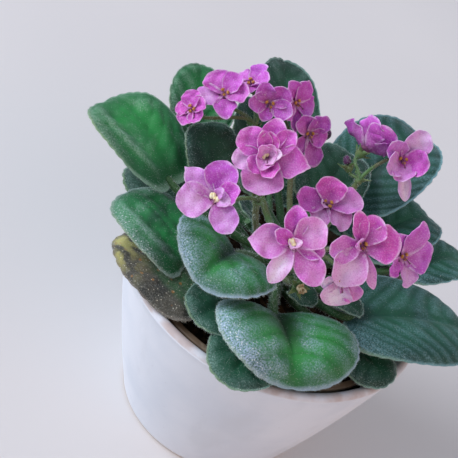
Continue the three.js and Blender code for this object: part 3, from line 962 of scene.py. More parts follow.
@dataclass
class CoverPot:
    """The white cover pot: one turned ceramic wall with a soft round lip."""

    height: float = 90.0
    rim: float = 70.0
    foot: float = 47.0
    belly: float = 1.4
    wall: float = 5.0
    floor: float = 7.0
    foot_edge: float = 1.5
    ring: float = 40.0           # radius of a shallow groove under the base
    groove: float = 0.5          # its depth
    corner: float = 3.0          # radius of the inner corner
    sides: int = 144

    def radius(self, height: float) -> float:
        """Returns the outer radius at a height."""
        return wall_radius(self.foot, self.rim, self.belly, height / self.height)

    def profile(self) -> Profile:
        """Returns the wall's outline from the middle of the base round to the inner floor."""
        lip = self.wall / 2
        shoulder = self.height - lip
        edge = self.foot_edge
        line = [(0.0, 0.0), (self.ring - 1, 0.0), (self.ring, self.groove)]
        line += [(self.ring + 1, self.groove), (self.ring + 2, 0.0)]
        line += arc((self.radius(edge) - edge, edge), edge, -90, 0, 4)
        line += [(self.radius(z), z) for z in np.linspace(4, shoulder, 18)]
        line += arc((self.rim - lip, shoulder), lip, 15, 180, 11)
        inner = np.linspace(shoulder - 4, self.floor + 2 * self.corner, 12)
        line += [(self.radius(z) - self.wall, z) for z in inner]
        middle = self.radius(self.floor) - self.wall - self.corner
        line += arc((middle, self.floor + self.corner), self.corner, 0, -90, 4)
        return line + [(0.0, self.floor)]

    def build(self, wardrobe: Wardrobe) -> None:
        """Turns the pot, glazes it and hands it over."""
        pot = spun("cover_pot_body", self.profile(), self.sides)
        settle(shade(dress(pot, wardrobe.ceramic), 50), "cover_pot")


@dataclass
class NurseryPot:
    """The thin brown pot that the plant grows in, with a rolled rim and drain holes."""

    base: float = 7.3
    height: float = 80.0
    rim: float = 63.0
    foot: float = 39.0
    wall: float = 1.4
    floor: float = 2.0
    lip: float = 1.6
    lip_height: float = 7.0
    holes: int = 4
    hole_radius: float = 4.0
    hole_ring: float = 22.0
    sides: int = 128

    def inside(self, height: float) -> float:
        """Returns the inner radius at a height above the pot's own base."""
        return wall_radius(self.foot, self.rim - self.lip, 0, height / self.height) - self.wall

    def profile(self) -> Profile:
        """Returns the wall's outline, standing at the pot's base height."""
        shoulder = self.height - self.lip_height
        outer = self.inside(shoulder) + self.wall
        line = [(0.0, 0.0), (self.foot - 0.8, 0.0), (self.foot, 0.8)]
        line += [(self.inside(z) + self.wall, z) for z in np.linspace(8, shoulder - 0.4, 8)]
        line += arc((outer + self.lip - 0.5, shoulder + 0.5), 0.5, -90, 0, 3)
        line += [(self.rim - 0.3, self.height - 2.2)]
        line += arc((self.rim - 0.7, self.height - 0.7), 0.7, 0, 90, 4)
        line += arc((self.rim - self.lip - self.wall + 0.6, self.height - 0.6), 0.6, 90, 180, 4)
        line += [(self.inside(z), z) for z in np.linspace(self.height - 6, self.floor + 1, 8)]
        line += [(self.inside(self.floor) - 1, self.floor), (0.0, self.floor)]
        return [(radius, height + self.base) for radius, height in line]

    def drill(self, pot: Piece) -> None:
        """Cuts the drain holes through the floor."""
        pins = []
        for number in range(self.holes):
            spot = self.hole_ring * heading(360 * number / self.holes) + UP * self.base
            deselect()
            bpy.ops.mesh.primitive_cylinder_add(
                vertices=24, radius=self.hole_radius * MM, depth=4 * self.floor * MM,
                location=spot * MM,
            )
            pins.append(fresh(f"drill_{number}"))
        pin = take(join(pins, "drill"))
        bpy.ops.object.transform_apply(location=True, rotation=True, scale=True)
        take(pot)
        bpy.ops.object.modifier_add(type="BOOLEAN")
        cut = pot.modifiers[-1]
        cut.operation = "DIFFERENCE"
        cut.object = pin
        bpy.ops.object.modifier_apply(modifier=cut.name)
        remove(pin)

    def build(self, wardrobe: Wardrobe) -> None:
        """Turns and drills the pot and hands it over."""
        pot = spun("nursery_pot_body", self.profile(), self.sides)
        self.drill(pot)
        settle(shade(dress(pot, wardrobe.plastic), 40), "nursery_pot")


@dataclass
class Soil:
    """The peat: a mound that fills the nursery pot, with crumbs and a little perlite on top."""

    pot: NurseryPot
    base: float = 9.6
    depth: float = 69.0
    mound: float = 5.0
    brow: float = 0.6            # where the mound steepens, as a share of the radius
    brow_rise: float = 0.7
    rings: int = 30
    sides: int = 120
    rough: float = 0.9           # how uneven the mound is
    lumps: float = 0.35          # how close its lumps lie
    crumbs: int = 520
    perlite: int = 60

    def top(self, share: float) -> float:
        """Returns the mound's height at a share of its radius."""
        return self.base + self.depth + self.mound * float(
            np.interp(share, [0, self.brow, 1], [1, self.brow_rise, 0])
        )

    def edge(self, height: float) -> float:
        """Returns the peat's radius at a height, just inside the nursery pot."""
        return self.pot.inside(height - self.pot.base) - GAP

    def body(self) -> Piece:
        """Turns the filling and roughens its top."""
        reach = self.edge(self.base + self.depth)
        line = [(0.0, self.base), (self.edge(self.base), self.base)]
        line += [(reach, self.base + self.depth)]
        shares = np.linspace(1, 0, self.rings)[1:]
        line += [(reach * s, self.top(s)) for s in shares]
        piece = spun("soil_body", line, self.sides)
        points = points_of(piece)
        for index, point in enumerate(points):
            away = math.hypot(point[0], point[1])
            if point[2] > self.base + self.depth - 0.01 and away < reach - 0.5:
                rise = noise.fractal(Vector(point) * self.lumps, 0.8, 2.2, 4)
                points[index, 2] += self.rough * rise - self.rough / 3
        move_points(piece, points)
        return piece

    def scatter(self, name: str, count: int, sizes: Pair) -> Piece:
        """Strews copies of one crumb over the mound.

        Args:
            name: the crumbs' name.
            count: how many there are.
            sizes: the smallest and the largest radius.

        Returns:
            The crumbs as one piece.
        """
        rng = seeded(name)
        deselect()
        bpy.ops.mesh.primitive_ico_sphere_add(subdivisions=1, radius=1)
        crumb = fresh("crumb")
        shape = points_of(crumb) * MM
        faces = [tuple(face.vertices) for face in crumb.data.polygons]
        remove(crumb)
        reach = self.edge(self.base + self.depth) - 2
        corners: List[Array] = []
        skins: List[Tuple[int, ...]] = []
        for number in range(count):
            share = math.sqrt(rng.uniform(0.03, 1))
            spot = heading(rng.uniform(0, 360)) * reach * share + UP * (self.top(share) + 0.1)
            size = rng.uniform(*sizes) * rng.uniform(0.6, 1.3, 3)
            lumpy = shape * size * rng.uniform(0.75, 1.2, (len(shape), 1))
            corners.append(lumpy + spot)
            skins += [tuple(v + number * len(shape) for v in face) for face in faces]
        return many(name, np.concatenate(corners), skins)

    def build(self, wardrobe: Wardrobe) -> None:
        """Fills the pot and hands the peat over."""
        body = dress(self.body(), wardrobe.peat)
        crumbs = dress(self.scatter("crumbs", self.crumbs, (0.5, 1.5)), wardrobe.peat)
        white = dress(self.scatter("perlite_grains", self.perlite, (0.5, 1.1)), wardrobe.perlite)
        settle(shade(join([body, crumbs, white], "soil_body"), 40), "soil")


# ---------------------------------------------------------------- leaves


@dataclass(frozen=True)
class BladeForm:
    """What all the leaf blades share."""

    thickness: float = 1.15
    rim: float = 0.4             # thickness of the margin, as a share of that
    full_width: float = 42.0     # the relief of a narrower blade is shallower
    lobe: float = 0.2            # how far the two basal lobes reach back, by the blade's length
    lean: float = 0.82           # under 1 puts the widest place towards the base
    fullness: float = 0.85       # under 1 makes both ends blunter
    vein_pitch: float = 9.0      # along the midrib, from one pair of side veins to the next
    vein_start: float = 0.35     # where the first pair stands, as a share of that
    strip: float = 3.5           # half width of the strip along the midrib without quilting
    valley: float = 0.9          # depth of the groove over the midrib
    valley_width: float = 1.7
    tooth: float = 0.2           # how far the blunt teeth of the margin stand out
    tooth_pitch: float = 3.4
    curl: float = 1.7            # how far the margin bends under
    drawn_in: float = 0.35       # how far that draws the margin in, as a share of it
    waves: Tuple[Pair, ...] = ((3, 1.0), (7, 0.4), (13, 0.12))    # crests, and their height
    folds: float = 1.9           # how many folds lie side by side in half a pleated blade
    sag: float = 0.5             # broad swells and dips of the face
    grain: float = 0.28          # fine unevenness of the face
    grain_scale: float = 0.45
    dip_width: float = 6.0       # half width of the painted shade in the fold by the stalk
    dip_fold: float = 12.0       # how deep the fold is where that painted shade is fully dark
    under: float = 0.4           # how far the stalk's end lies under the blade
    cells: int = 46


BLADE = BladeForm()
LIGHT_SIDE = np.array([-0.6, -0.8, 0.0])    # painted sheen: the hairs' bloom and the rim's glow are painted strongest on this side of each blade, the side the light comes from


@dataclass
class Leaf:
    """One leaf: a quilted blade on a round stalk, under a coat of short hairs.

    base and tip are the two ends of the blade's midrib. bow lifts the middle of the midrib, cup
    lifts both side margins, fold makes a valley of the midrib, roll turns the blade about its
    midrib, and skew sweeps the right side forward. stalk is the height on the crown where the
    leaf's stalk grows, and aim the compass direction that it leaves in.
    """

    name: str
    base: Triple
    tip: Triple
    width: float
    bow: float
    cup: float
    fold: float
    stalk: float
    aim: float
    roll: float = 0.0
    skew: float = 0.0
    tone: LeafTone = LeafTone.DEEP
    lean: float = BLADE.lean
    fullness: float = BLADE.fullness
    quilt: float = 0.68          # how far the blade swells between two side veins
    sweep: float = 0.5           # how far the side veins run forward on their way to the margin
    pleat: float = 0.0           # depth of folds that run the length of the blade
    ruffle: float = 0.6          # waves of the margin
    hairs: int = 1500
    sink: float = 4.0            # how far the stalk runs on under the blade
    handle: float = 0.35         # how far the stalk runs straight at both ends, by its length
    stalk_radius: float = 2.1
    root_radius: float = 8.3     # distance from the crown's axis where the stalk starts

    def axes(self) -> Tuple[Array, Array, Array, Array, float]:
        """Returns the midrib's start, the directions along, left and out, and its length."""
        base = np.array(self.base)
        line = np.array(self.tip) - base
        length = float(np.linalg.norm(line))
        along = line / length
        left = unit(np.cross(UP, along))
        out = np.cross(along, left)
        turn = math.radians(self.roll)
        left, out = (
            math.cos(turn) * left + math.sin(turn) * out,
            math.cos(turn) * out - math.sin(turn) * left,
        )
        return base, along, left, out, length

    def vein_phase(self, disc: Disc, t: Array, length: float, waves: Array) -> Array:
        """Counts the side veins along the blade, with a whole number on each of them."""
        bend = self.sweep * np.abs(disc.s) ** 1.15
        pairs = max(3, round(length / BLADE.vein_pitch * (1.2 - 0.55 * self.sweep)))
        stray = 0.16 * np.sin(5.3 * t + 2.1 * disc.s + waves[0])
        stray += 0.12 * np.sin(9.1 * t - 3.7 * disc.s + waves[3])
        return pairs * (t - bend) / (1 - 0.9 * bend) + BLADE.vein_start + stray

    def pleats(self, disc: Disc, t: Array, waves: Array) -> Array:
        """Returns how far the folds that run along the blade rise, which die out at its margin."""
        fold = BLADE.folds * np.abs(disc.s) + 0.12 * np.sin(3 * t + waves[1])
        ends = np.sin(np.pi * np.clip(t, 0, 1)) ** 0.6 * (1 - disc.r ** 6)
        return self.pleat * np.cos(2 * np.pi * fold) * ends

    def margin(self, disc: Disc, curl: Array, length: float, waves: Array) -> Array:
        """Returns how far the margin stands out in blunt teeth, less what its curl draws in."""
        girth = 2.4 * (length + self.width) / 2
        teeth = max(12, round(girth / BLADE.tooth_pitch))
        uneven = 1 + 0.8 * np.sin(5 * disc.turn + waves[1]) * np.sin(2 * disc.turn + waves[2])
        tooth = 2 * np.abs(np.sin(teeth / 2 * disc.turn)) - 1
        return BLADE.tooth * uneven * disc.r ** 12 * tooth - BLADE.drawn_in * curl

    def blade(self) -> Piece:
        """Shapes the blade as a sheet, thickens it, and paints what its finish reads."""
        disc = Disc.sheet(self.name + "_blade", BLADE.cells)
        s, r = disc.s, disc.r
        base, along, left, out, length = self.axes()
        waves = seeded(self.name).uniform(0, 2 * np.pi, 4)
        size = min(1.0, self.width / BLADE.full_width)
        t = np.clip((1 + disc.y) / 2, 0, 1) ** (1 / self.lean)
        off_rib = self.width / 2 * np.abs(disc.x)
        phase = self.vein_phase(disc, t, length, waves)

        puff = np.abs(np.sin(np.pi * phase)) ** 0.7
        quilt = self.quilt * size * (puff - 0.4) * (1 - bell(off_rib, BLADE.strip)) * (1 - r ** 6)
        valley = BLADE.valley * size * bell(off_rib, BLADE.valley_width)
        valley *= (1 - t ** 3) * (1 - r ** 10)
        ruffle = self.ruffle * r ** 3 * waving(disc.turn, waves, BLADE.waves)
        curl = BLADE.curl * size * smooth(r, 0.78, 1.0) ** 1.5
        sag = BLADE.sag * size * np.sin(2.3 * disc.x + waves[3]) * np.sin(2.9 * disc.y + waves[0])
        pleat = self.pleats(disc, t, waves)
        margin = self.margin(disc, curl, length, waves)

        across = s * disc.half ** self.fullness
        lobe = BLADE.lobe * s * across * (1 - t) ** 3
        run = length * (t - lobe) + self.skew * across + margin * disc.y
        side = -self.width / 2 * across - margin * disc.x
        rise = 4 * self.bow * t * (1 - t) + self.cup * s * across
        rise += self.fold * np.hypot(across, 0.06)
        rise += quilt - valley + pleat + ruffle - curl + sag * (1 - r ** 4)
        points = base + np.outer(run, along) + np.outer(side, left) + np.outer(rise, out)
        grain = np.array([noise.noise(Vector(p) * BLADE.grain_scale) for p in points])
        points = points + np.outer(BLADE.grain * size * grain * (1 - r ** 8), out)
        move_points(disc.piece, points)

        # painted shade down in the fold by the stalk, darker in a deeper fold
        dip = bell(off_rib, BLADE.dip_width) * (1 - smooth(t, 0.35, 0.8))
        dip *= min(1.0, self.fold / BLADE.dip_fold)
        # painted sheen on the swellings between the veins, or on the side of the pleats that faces
        # the light
        swelling = puff ** 2 * min(1.0, self.quilt)
        if self.pleat:
            swelling = pleat / self.pleat * smooth(-s, -0.5, 0.3)
        ridge = np.clip(swelling, 0, 1) * smooth(off_rib, 1.5, 4.0)
        # painted sheen: how far each spot lies towards the side the light comes from, more so near
        # the margin
        reach = 0.5 * math.hypot(length, self.width)
        toward = (points - points.mean(axis=0)) @ LIGHT_SIDE / reach
        dust = smooth(toward + 0.12 * ruffle, 0.2, 0.85) * (0.25 + 0.75 * smooth(r, 0.55, 0.95))
        rib = off_rib + 3 * t ** 4
        paint(disc.piece, edge=r, run=t, vein=phase, rib=rib, dip=dip, ridge=ridge, dust=dust)
        thicken(disc.piece, BLADE.thickness * (0.7 + 0.3 * size), BLADE.rim, back=1)
        return disc.piece

    def petiole(self) -> Piece:
        """Lays the leaf's stalk from the crown to the blade."""
        base, along, _, out, _ = self.axes()
        outward = heading(self.aim)
        root = outward * self.root_radius + UP * self.stalk
        end = base + along * self.sink - out * BLADE.under
        hold = self.handle * float(np.linalg.norm(end - root))
        course = [root, root + hold * outward, end - hold * along, end]
        radii = (self.stalk_radius, 0.8 * self.stalk_radius)
        return tube(self.name + "_stalk", course, radii, 20)

    def build(self, wardrobe: Wardrobe) -> None:
        """Shapes, dresses and hands over the leaf."""
        old = self.tone is LeafTone.OLD
        hair_skin = wardrobe.old_fuzz if old else wardrobe.fuzz
        blade = dress(self.blade(), wardrobe.leaf[self.tone], wardrobe.underside)
        petiole = dress(self.petiole(), wardrobe.petiole)
        shade(blade, 75)
        shade(petiole)
        edge = painted(blade, "edge")
        nap = Fuzz(self.hairs, length=0.6, width=0.035, lean=0.8)
        fringe = Fuzz(self.hairs, length=0.8, width=0.04, lean=0.5)
        down = Fuzz(self.hairs // 8, length=1.3, width=0.08, lean=0.3)
        coats = [nap.grow(blade, hair_skin, 0.2 + 0.8 * edge ** 3)]
        blade.name += "_rim"
        coats.append(fringe.grow(blade, hair_skin, smooth(edge, 0.95, 1.0) + 1e-6))
        coats.append(down.grow(petiole, hair_skin))
        whole = join([blade, petiole, *coats], self.name + "_leaf")
        settle(whole, self.name)


# each row: name, base, tip, width, bow, cup, fold, stalk, aim
LEAVES: List[Leaf] = [
    Leaf("leaf_left_upper", (-57.4, -4.6, 111.6), (-100.8, 11.6, 125.6), 42, 5, 4, 0, 97.8, 184,
         roll=-4, lean=1.3, fullness=0.65, tone=LeafTone.VIVID, quilt=0.5, pleat=0.9),
    Leaf("leaf_back_left", (-61, 43.5, 107.5), (-75, 70.5, 129.5), 34, 3, 4, 2, 98, 142,
         fullness=1.1, tone=LeafTone.VIVID),
    Leaf("leaf_inner_left", (-44, 10.2, 114.4), (-57.5, 21.2, 131), 31, 2, 3, 0, 101, 165,
         fullness=0.6, quilt=0.35, ruffle=0.3),
    Leaf("leaf_back", (-21, 46, 114), (-39, 90.5, 141), 34, 4, 5, 2, 96, 102),
    Leaf("leaf_back_right", (18, 47, 110), (41, 94, 135), 50, 6, 4, 3, 94, 70, tone=LeafTone.BLUE),
    Leaf("leaf_right", (32, 32, 98.5), (60, 66, 111), 42, 4, 2, 3, 91, 44, tone=LeafTone.BLUE),
    Leaf("leaf_right_low", (55, 29.2, 101.2), (86, 55.5, 103), 29, 4, 0, 0, 87, 22,
         tone=LeafTone.BLUE),
    Leaf("leaf_right_front", (33, -20, 99), (94, 11, 96), 50, 6, -3, 3, 90.5, -25,
         tone=LeafTone.BLUE),
    Leaf("leaf_front", (4, -36, 98), (21, -66, 94), 61, 5, -15, 19, 93, -80, skew=-3.5,
         tone=LeafTone.FROSTED, quilt=0.5, hairs=2600),
    Leaf("leaf_front_upper", (-21, -25, 109), (-29, -52, 110), 49, 4, -10, 15, 100, -128, skew=-3,
         tone=LeafTone.FROSTED, quilt=0.5, hairs=2600),
    Leaf("leaf_left", (-37, -28.2, 98), (-74.5, -13.4, 104.5), 38, 3.5, 0, 0, 94, 210,
         fullness=0.65, tone=LeafTone.DUSTED, quilt=0.5, pleat=0.8),
    Leaf("leaf_left_low", (-25, -44.5, 91.6), (-68, -26.5, 94), 36, 2.5, 0, 0, 90, 228,
         tone=LeafTone.OLD, ruffle=1.0),
    Leaf("leaf_front_left_low", (-11, -34, 95.2), (-25, -57, 96), 30, 1, 0, 1, 94, 248),
    Leaf("leaf_front_low", (2, -46, 92.8), (-4, -77, 93), 32, 1, 0, 1, 87, 282),
    Leaf("leaf_front_right_low", (37, -26, 92), (59.5, -39, 93), 30, 2, 0, 0, 86, -44),
    Leaf("leaf_left_hidden", (-42, 17, 97.5), (-80, 0, 100.5), 40, 1.5, 0, 0, 90, 168),
    Leaf("leaf_back_left_low", (-42, 30, 93), (-74, 50, 98), 40, 3, 1, 0, 87.5, 146),
    Leaf("leaf_back_low", (-16, 44, 93), (-28, 82, 99), 42, 4, 1, 1, 89, 112),
    Leaf("leaf_back_right_low", (14, 46, 93), (23, 84, 99), 40, 3, 1, 1, 87.5, 74),
    Leaf("leaf_right_back_low", (40, 40, 91.5), (64, 62, 95), 36, 3, 1, 0, 85.5, 48),
    Leaf("leaf_back_inner", (-31.5, 31, 113.5), (-44, 48.5, 137.5), 24, 2, 3, 0, 101, 118,
         hairs=700),
    Leaf("leaf_centre_back", (4, 28, 112), (9, 61, 127), 34, 3, 2, 2, 99, 84),
    Leaf("leaf_centre_front", (-19, -4, 109), (-29, -8, 121), 15, 2, 2, 0, 105, 182, hairs=500),
    Leaf("leaf_heart_front", (8, -20, 99.5), (18.5, -24.5, 101), 14, 1, 1, 1, 97.3, -56, hairs=500),
    Leaf("leaf_heart_right", (22, -15.5, 103.4), (38, -21.5, 105.2), 14, 1, 1, 0, 95, -28,
         hairs=500),
]


# ---------------------------------------------------------------- flowers


@dataclass(frozen=True)
class Axes:
    """A flower's own place and directions: its centre, out of its face, up it, and to its right."""

    centre: Array
    face: Array
    up: Array
    right: Array

    @classmethod
    def looking(cls, centre: Triple, compass: float, elevation: float) -> "Axes":
        """Sets a flower to look in a compass direction, raised by an elevation in degrees."""
        tilt = math.radians(elevation)
        face = math.cos(tilt) * heading(compass) + math.sin(tilt) * UP
        up = unit(UP - face[2] * face)
        return cls(np.array(centre, float), face, up, np.cross(up, face))


@dataclass(frozen=True)
class PetalForm:
    """What all the petals share."""

    thickness: float = 0.5
    rim: float = 0.5
    sink: float = 0.8            # how deep its narrow end sits in the throat
    lean: float = 1.5            # over 1 puts the widest place towards the tip
    fullness: float = 0.58       # under 1 makes the outline blunter
    cup: float = 0.15            # rise of the side margins, by its width
    recurve: float = 0.12        # how far the tip bends back, by its length
    ruffle: float = 0.06         # waves of the margin, by its width
    waves: Tuple[Pair, ...] = ((3, 1.0), (5, 0.6), (11, 0.12))    # crests, and their height
    scallop: float = 0.012       # shallow bays of the margin, by its width
    roll: float = 0.5            # how far the margin rolls over to either side
    crease: float = 0.6          # depth of the fold down its middle
    pucker: float = 0.038        # swellings and hollows of its face, by its width
    twist: float = 0.12          # how far it may twist, as rise by distance from its middle
    stray: float = 0.18          # how far its colour may stray from the flower's
    cells: int = 18


PETAL = PetalForm()


@dataclass(frozen=True)
class Petal:
    """One petal: turned clockwise from straight up, and lifted forward out of a flat flower.

    pale is how whitish it is, and point how far its tip is drawn out, in millimetres.
    """

    turn: float
    length: float
    width: float
    lift: float
    pale: float = 0.0
    point: float = 0.0
    cells: int = PETAL.cells

    def build(self, name: str, axes: Axes, tint: float) -> Piece:
        """Shapes the petal in place.

        Args:
            name: its name, which also seeds its ruffles.
            axes: the flower that it grows in.
            tint: its colour, from 0 for pink to 1 for violet.

        Returns:
            The petal as a thin closed body.
        """
        disc = Disc.sheet(name, self.cells)
        s, r = disc.s, disc.r
        rng = seeded(name)
        turn, lean = math.radians(self.turn), math.radians(self.lift)
        out = math.cos(turn) * axes.up + math.sin(turn) * axes.right
        across = np.cross(axes.face, out)
        along = math.cos(lean) * out + math.sin(lean) * axes.face
        normal = np.cross(along, across)
        outline = disc.half ** PETAL.fullness
        t = (np.arccos(np.clip(-disc.y, -1, 1)) / np.pi) ** (1 / PETAL.lean)
        waves = rng.uniform(0, 2 * np.pi, 4)
        twist = rng.uniform(-PETAL.twist, PETAL.twist)

        ruffle = PETAL.ruffle * self.width * r ** 3 * waving(disc.turn, waves, PETAL.waves)
        scallop = PETAL.scallop * self.width * r ** 6 * np.sin(4 * disc.turn + waves[2])
        crease = PETAL.crease * bell(s, 0.22) * (1 - t) * outline
        swell = np.sin(4.5 * disc.x + waves[0]) * np.sin(3.7 * disc.y + waves[2]) * (1 - r ** 6)
        pucker = PETAL.pucker * self.width * swell
        roll = PETAL.roll * smooth(r, 0.84, 1.0) * np.sin(2 * disc.turn + waves[3])
        tip = self.point * smooth(t, 0.72, 1.0) * bell(s, 0.35)
        narrow = 1 - self.point * smooth(t, 0.6, 1.0) / 8
        run = (self.length + PETAL.sink) * t - PETAL.sink + tip + scallop * disc.y
        side = -0.5 * self.width * outline * s * narrow - scallop * disc.x
        rise = PETAL.cup * self.width * s * s * outline - PETAL.recurve * self.length * t * t
        rise += (ruffle + twist * side) * smooth(t, 0.2, 0.7) - crease - roll + pucker
        points = axes.centre + np.outer(run, along) + np.outer(side, across)
        points += np.outer(rise, normal)
        move_points(disc.piece, points)

        whitish = 1.35 * self.pale * smooth(t, 0.2, 0.5) * (0.6 + 0.4 * np.cos(2 * s))
        level = np.clip(tint + rng.uniform(-PETAL.stray, PETAL.stray), 0, 1)
        # painted shade in the pucker's hollows and down the crease
        hollow = np.clip(-swell, 0, 1) + bell(s, 0.3) * (1 - t)
        paint(disc.piece, edge=r, run=t, fan=s, pale=np.clip(whitish, 0, 1),
              tint=np.full(len(s), level), hollow=np.clip(hollow, 0, 1))
        thicken(disc.piece, PETAL.thickness, PETAL.rim)
        return disc.piece


@dataclass(frozen=True)
class FlowerParts:
    """The small parts that every flower's middle is put together from."""

    throat: float = 2.6          # radius of the cup that the petals meet in
    throat_back: float = 1.8     # how far that cup reaches back
    anther: float = 1.15         # radius of one lobe
    rise: float = 1.9            # height of the anthers over the flower's middle
    style: float = 4.6           # length
    knob: float = 0.42           # radius of the style's end


PARTS = FlowerParts()


class Anthers(Enum):
    """How a flower's anthers look: their size by the usual one, and their threads' length."""

    CREAM = (1.0, 2.4)           # fresh and full of pollen
    RUST = (0.55, 4.2)           # spent, on long brown threads


class AntherPattern:
    """The pattern of one anther: two lobes on a brown thread, modelled once for each kind."""

    def __init__(self, kind: Anthers, wardrobe: Wardrobe) -> None:
        """Models the pattern, upright at the origin."""
        share, thread_length = kind.value
        skin = wardrobe.pollen if kind is Anthers.CREAM else wardrobe.rust
        lobes = []
        for side in (-1, 1):
            lobe = ball("lobe", PARTS.anther * share, ORIGIN, 14, 10)
            bpy.ops.object.mode_set(mode="EDIT")
            bpy.ops.mesh.select_all(action="SELECT")
            bpy.ops.transform.resize(value=(0.72, 1.12, 0.82))
            bpy.ops.transform.translate(value=(0.5 * share * side * MM, 0.12 * side * MM, 0))
            bpy.ops.object.mode_set(mode="OBJECT")
            lobes.append(dress(lobe, skin))
        down = -thread_length * UP
        bow = np.array([0.5, 0.0, 0.0])
        course = [down, 0.7 * down + bow, 0.3 * down + bow, ORIGIN]
        thread = tube("thread", course, (0.3, 0.22), 6)
        self.piece = join([*lobes, dress(thread, wardrobe.filament)], "anther_pattern")
        shade(self.piece)

    def copy(self, name: str, axes: Axes, spot: Triple, turn: float) -> Piece:
        """Copies the anther to a spot on a flower, turned about the flower's facing direction."""
        twin = copy_of(self.piece, name)
        twin.data.transform(Matrix.Rotation(math.radians(turn), 4, "Z"))
        twin.data.transform(Matrix.Translation(Vector(spot) * MM))
        return turned_to(twin, axes)

    def clear(self) -> None:
        """Takes the pattern away."""
        remove(self.piece)


@dataclass
class Head:
    """Whatever a pedicel carries; face is its compass direction and how far it looks up."""

    name: str
    centre: Triple
    face: Pair

    def axes(self) -> Axes:
        """Returns where the head is and looks."""
        return Axes.looking(self.centre, *self.face)


@dataclass
class Flower(Head):
    """One open flower: petals joined at a dark throat, an inner ring, anthers and a style."""

    petals: List[Petal]
    heart: List[Petal] = field(default_factory=list)
    tint: float = 0.4
    anthers: Anthers = Anthers.RUST
    anther_spots: Sequence[Pair] = ((-1.3, 0.5), (0.9, -0.9), (1.4, 1.0))
    style_turn: float = 150.0

    def throat(self, wardrobe: Wardrobe) -> Piece:
        """Turns the dark cup that the petals meet in."""
        rim, back = PARTS.throat, -PARTS.throat_back
        line = [(0.0, back), (0.6 * rim, back), (0.8 * rim, 0.4 * back), (rim, 0.35)]
        line += [(0.85 * rim, 0.75), (0.62 * rim, 0.45), (0.4 * rim, -0.1), (0.0, -0.3)]
        cup = spun(self.name + "_throat", line, 20)
        return turned_to(dress(cup, wardrobe.throat), self.axes())

    def style(self, wardrobe: Wardrobe) -> Piece:
        """Lays the thin style and its knob."""
        axes = self.axes()
        turn = math.radians(self.style_turn)
        lean = math.cos(turn) * axes.up + math.sin(turn) * axes.right
        start = axes.centre + 0.2 * axes.face
        end = start + PARTS.style * (0.75 * axes.face + 0.6 * lean)
        bend = start + PARTS.style * 0.5 * axes.face
        course = [start, bend, 0.5 * (bend + end), end]
        line = tube(self.name + "_style", course, (0.34, 0.22), 8)
        knob = ball(self.name + "_knob", PARTS.knob, end, 10, 6)
        return dress(join([line, knob], self.name + "_style"), wardrobe.style)

    def build(self, wardrobe: Wardrobe, patterns: Dict[Anthers, AntherPattern]) -> None:
        """Shapes, dresses and hands over the flower."""
        axes = self.axes()
        pieces = []
        for number, petal in enumerate(self.petals + self.heart):
            sheet = petal.build(f"{self.name}_petal_{number}", axes, self.tint)
            pieces.append(dress(sheet, wardrobe.petal))
        pieces.append(self.throat(wardrobe))
        pieces.append(self.style(wardrobe))
        pattern = patterns[self.anthers]
        for number, (x, y) in enumerate(self.anther_spots):
            turn = 360 * number / len(self.anther_spots) + 25
            name = f"{self.name}_anther_{number}"
            pieces.append(pattern.copy(name, axes, (x, y, PARTS.rise), turn))
        settle(shade(join(pieces, self.name + "_bloom"), 70), self.name)


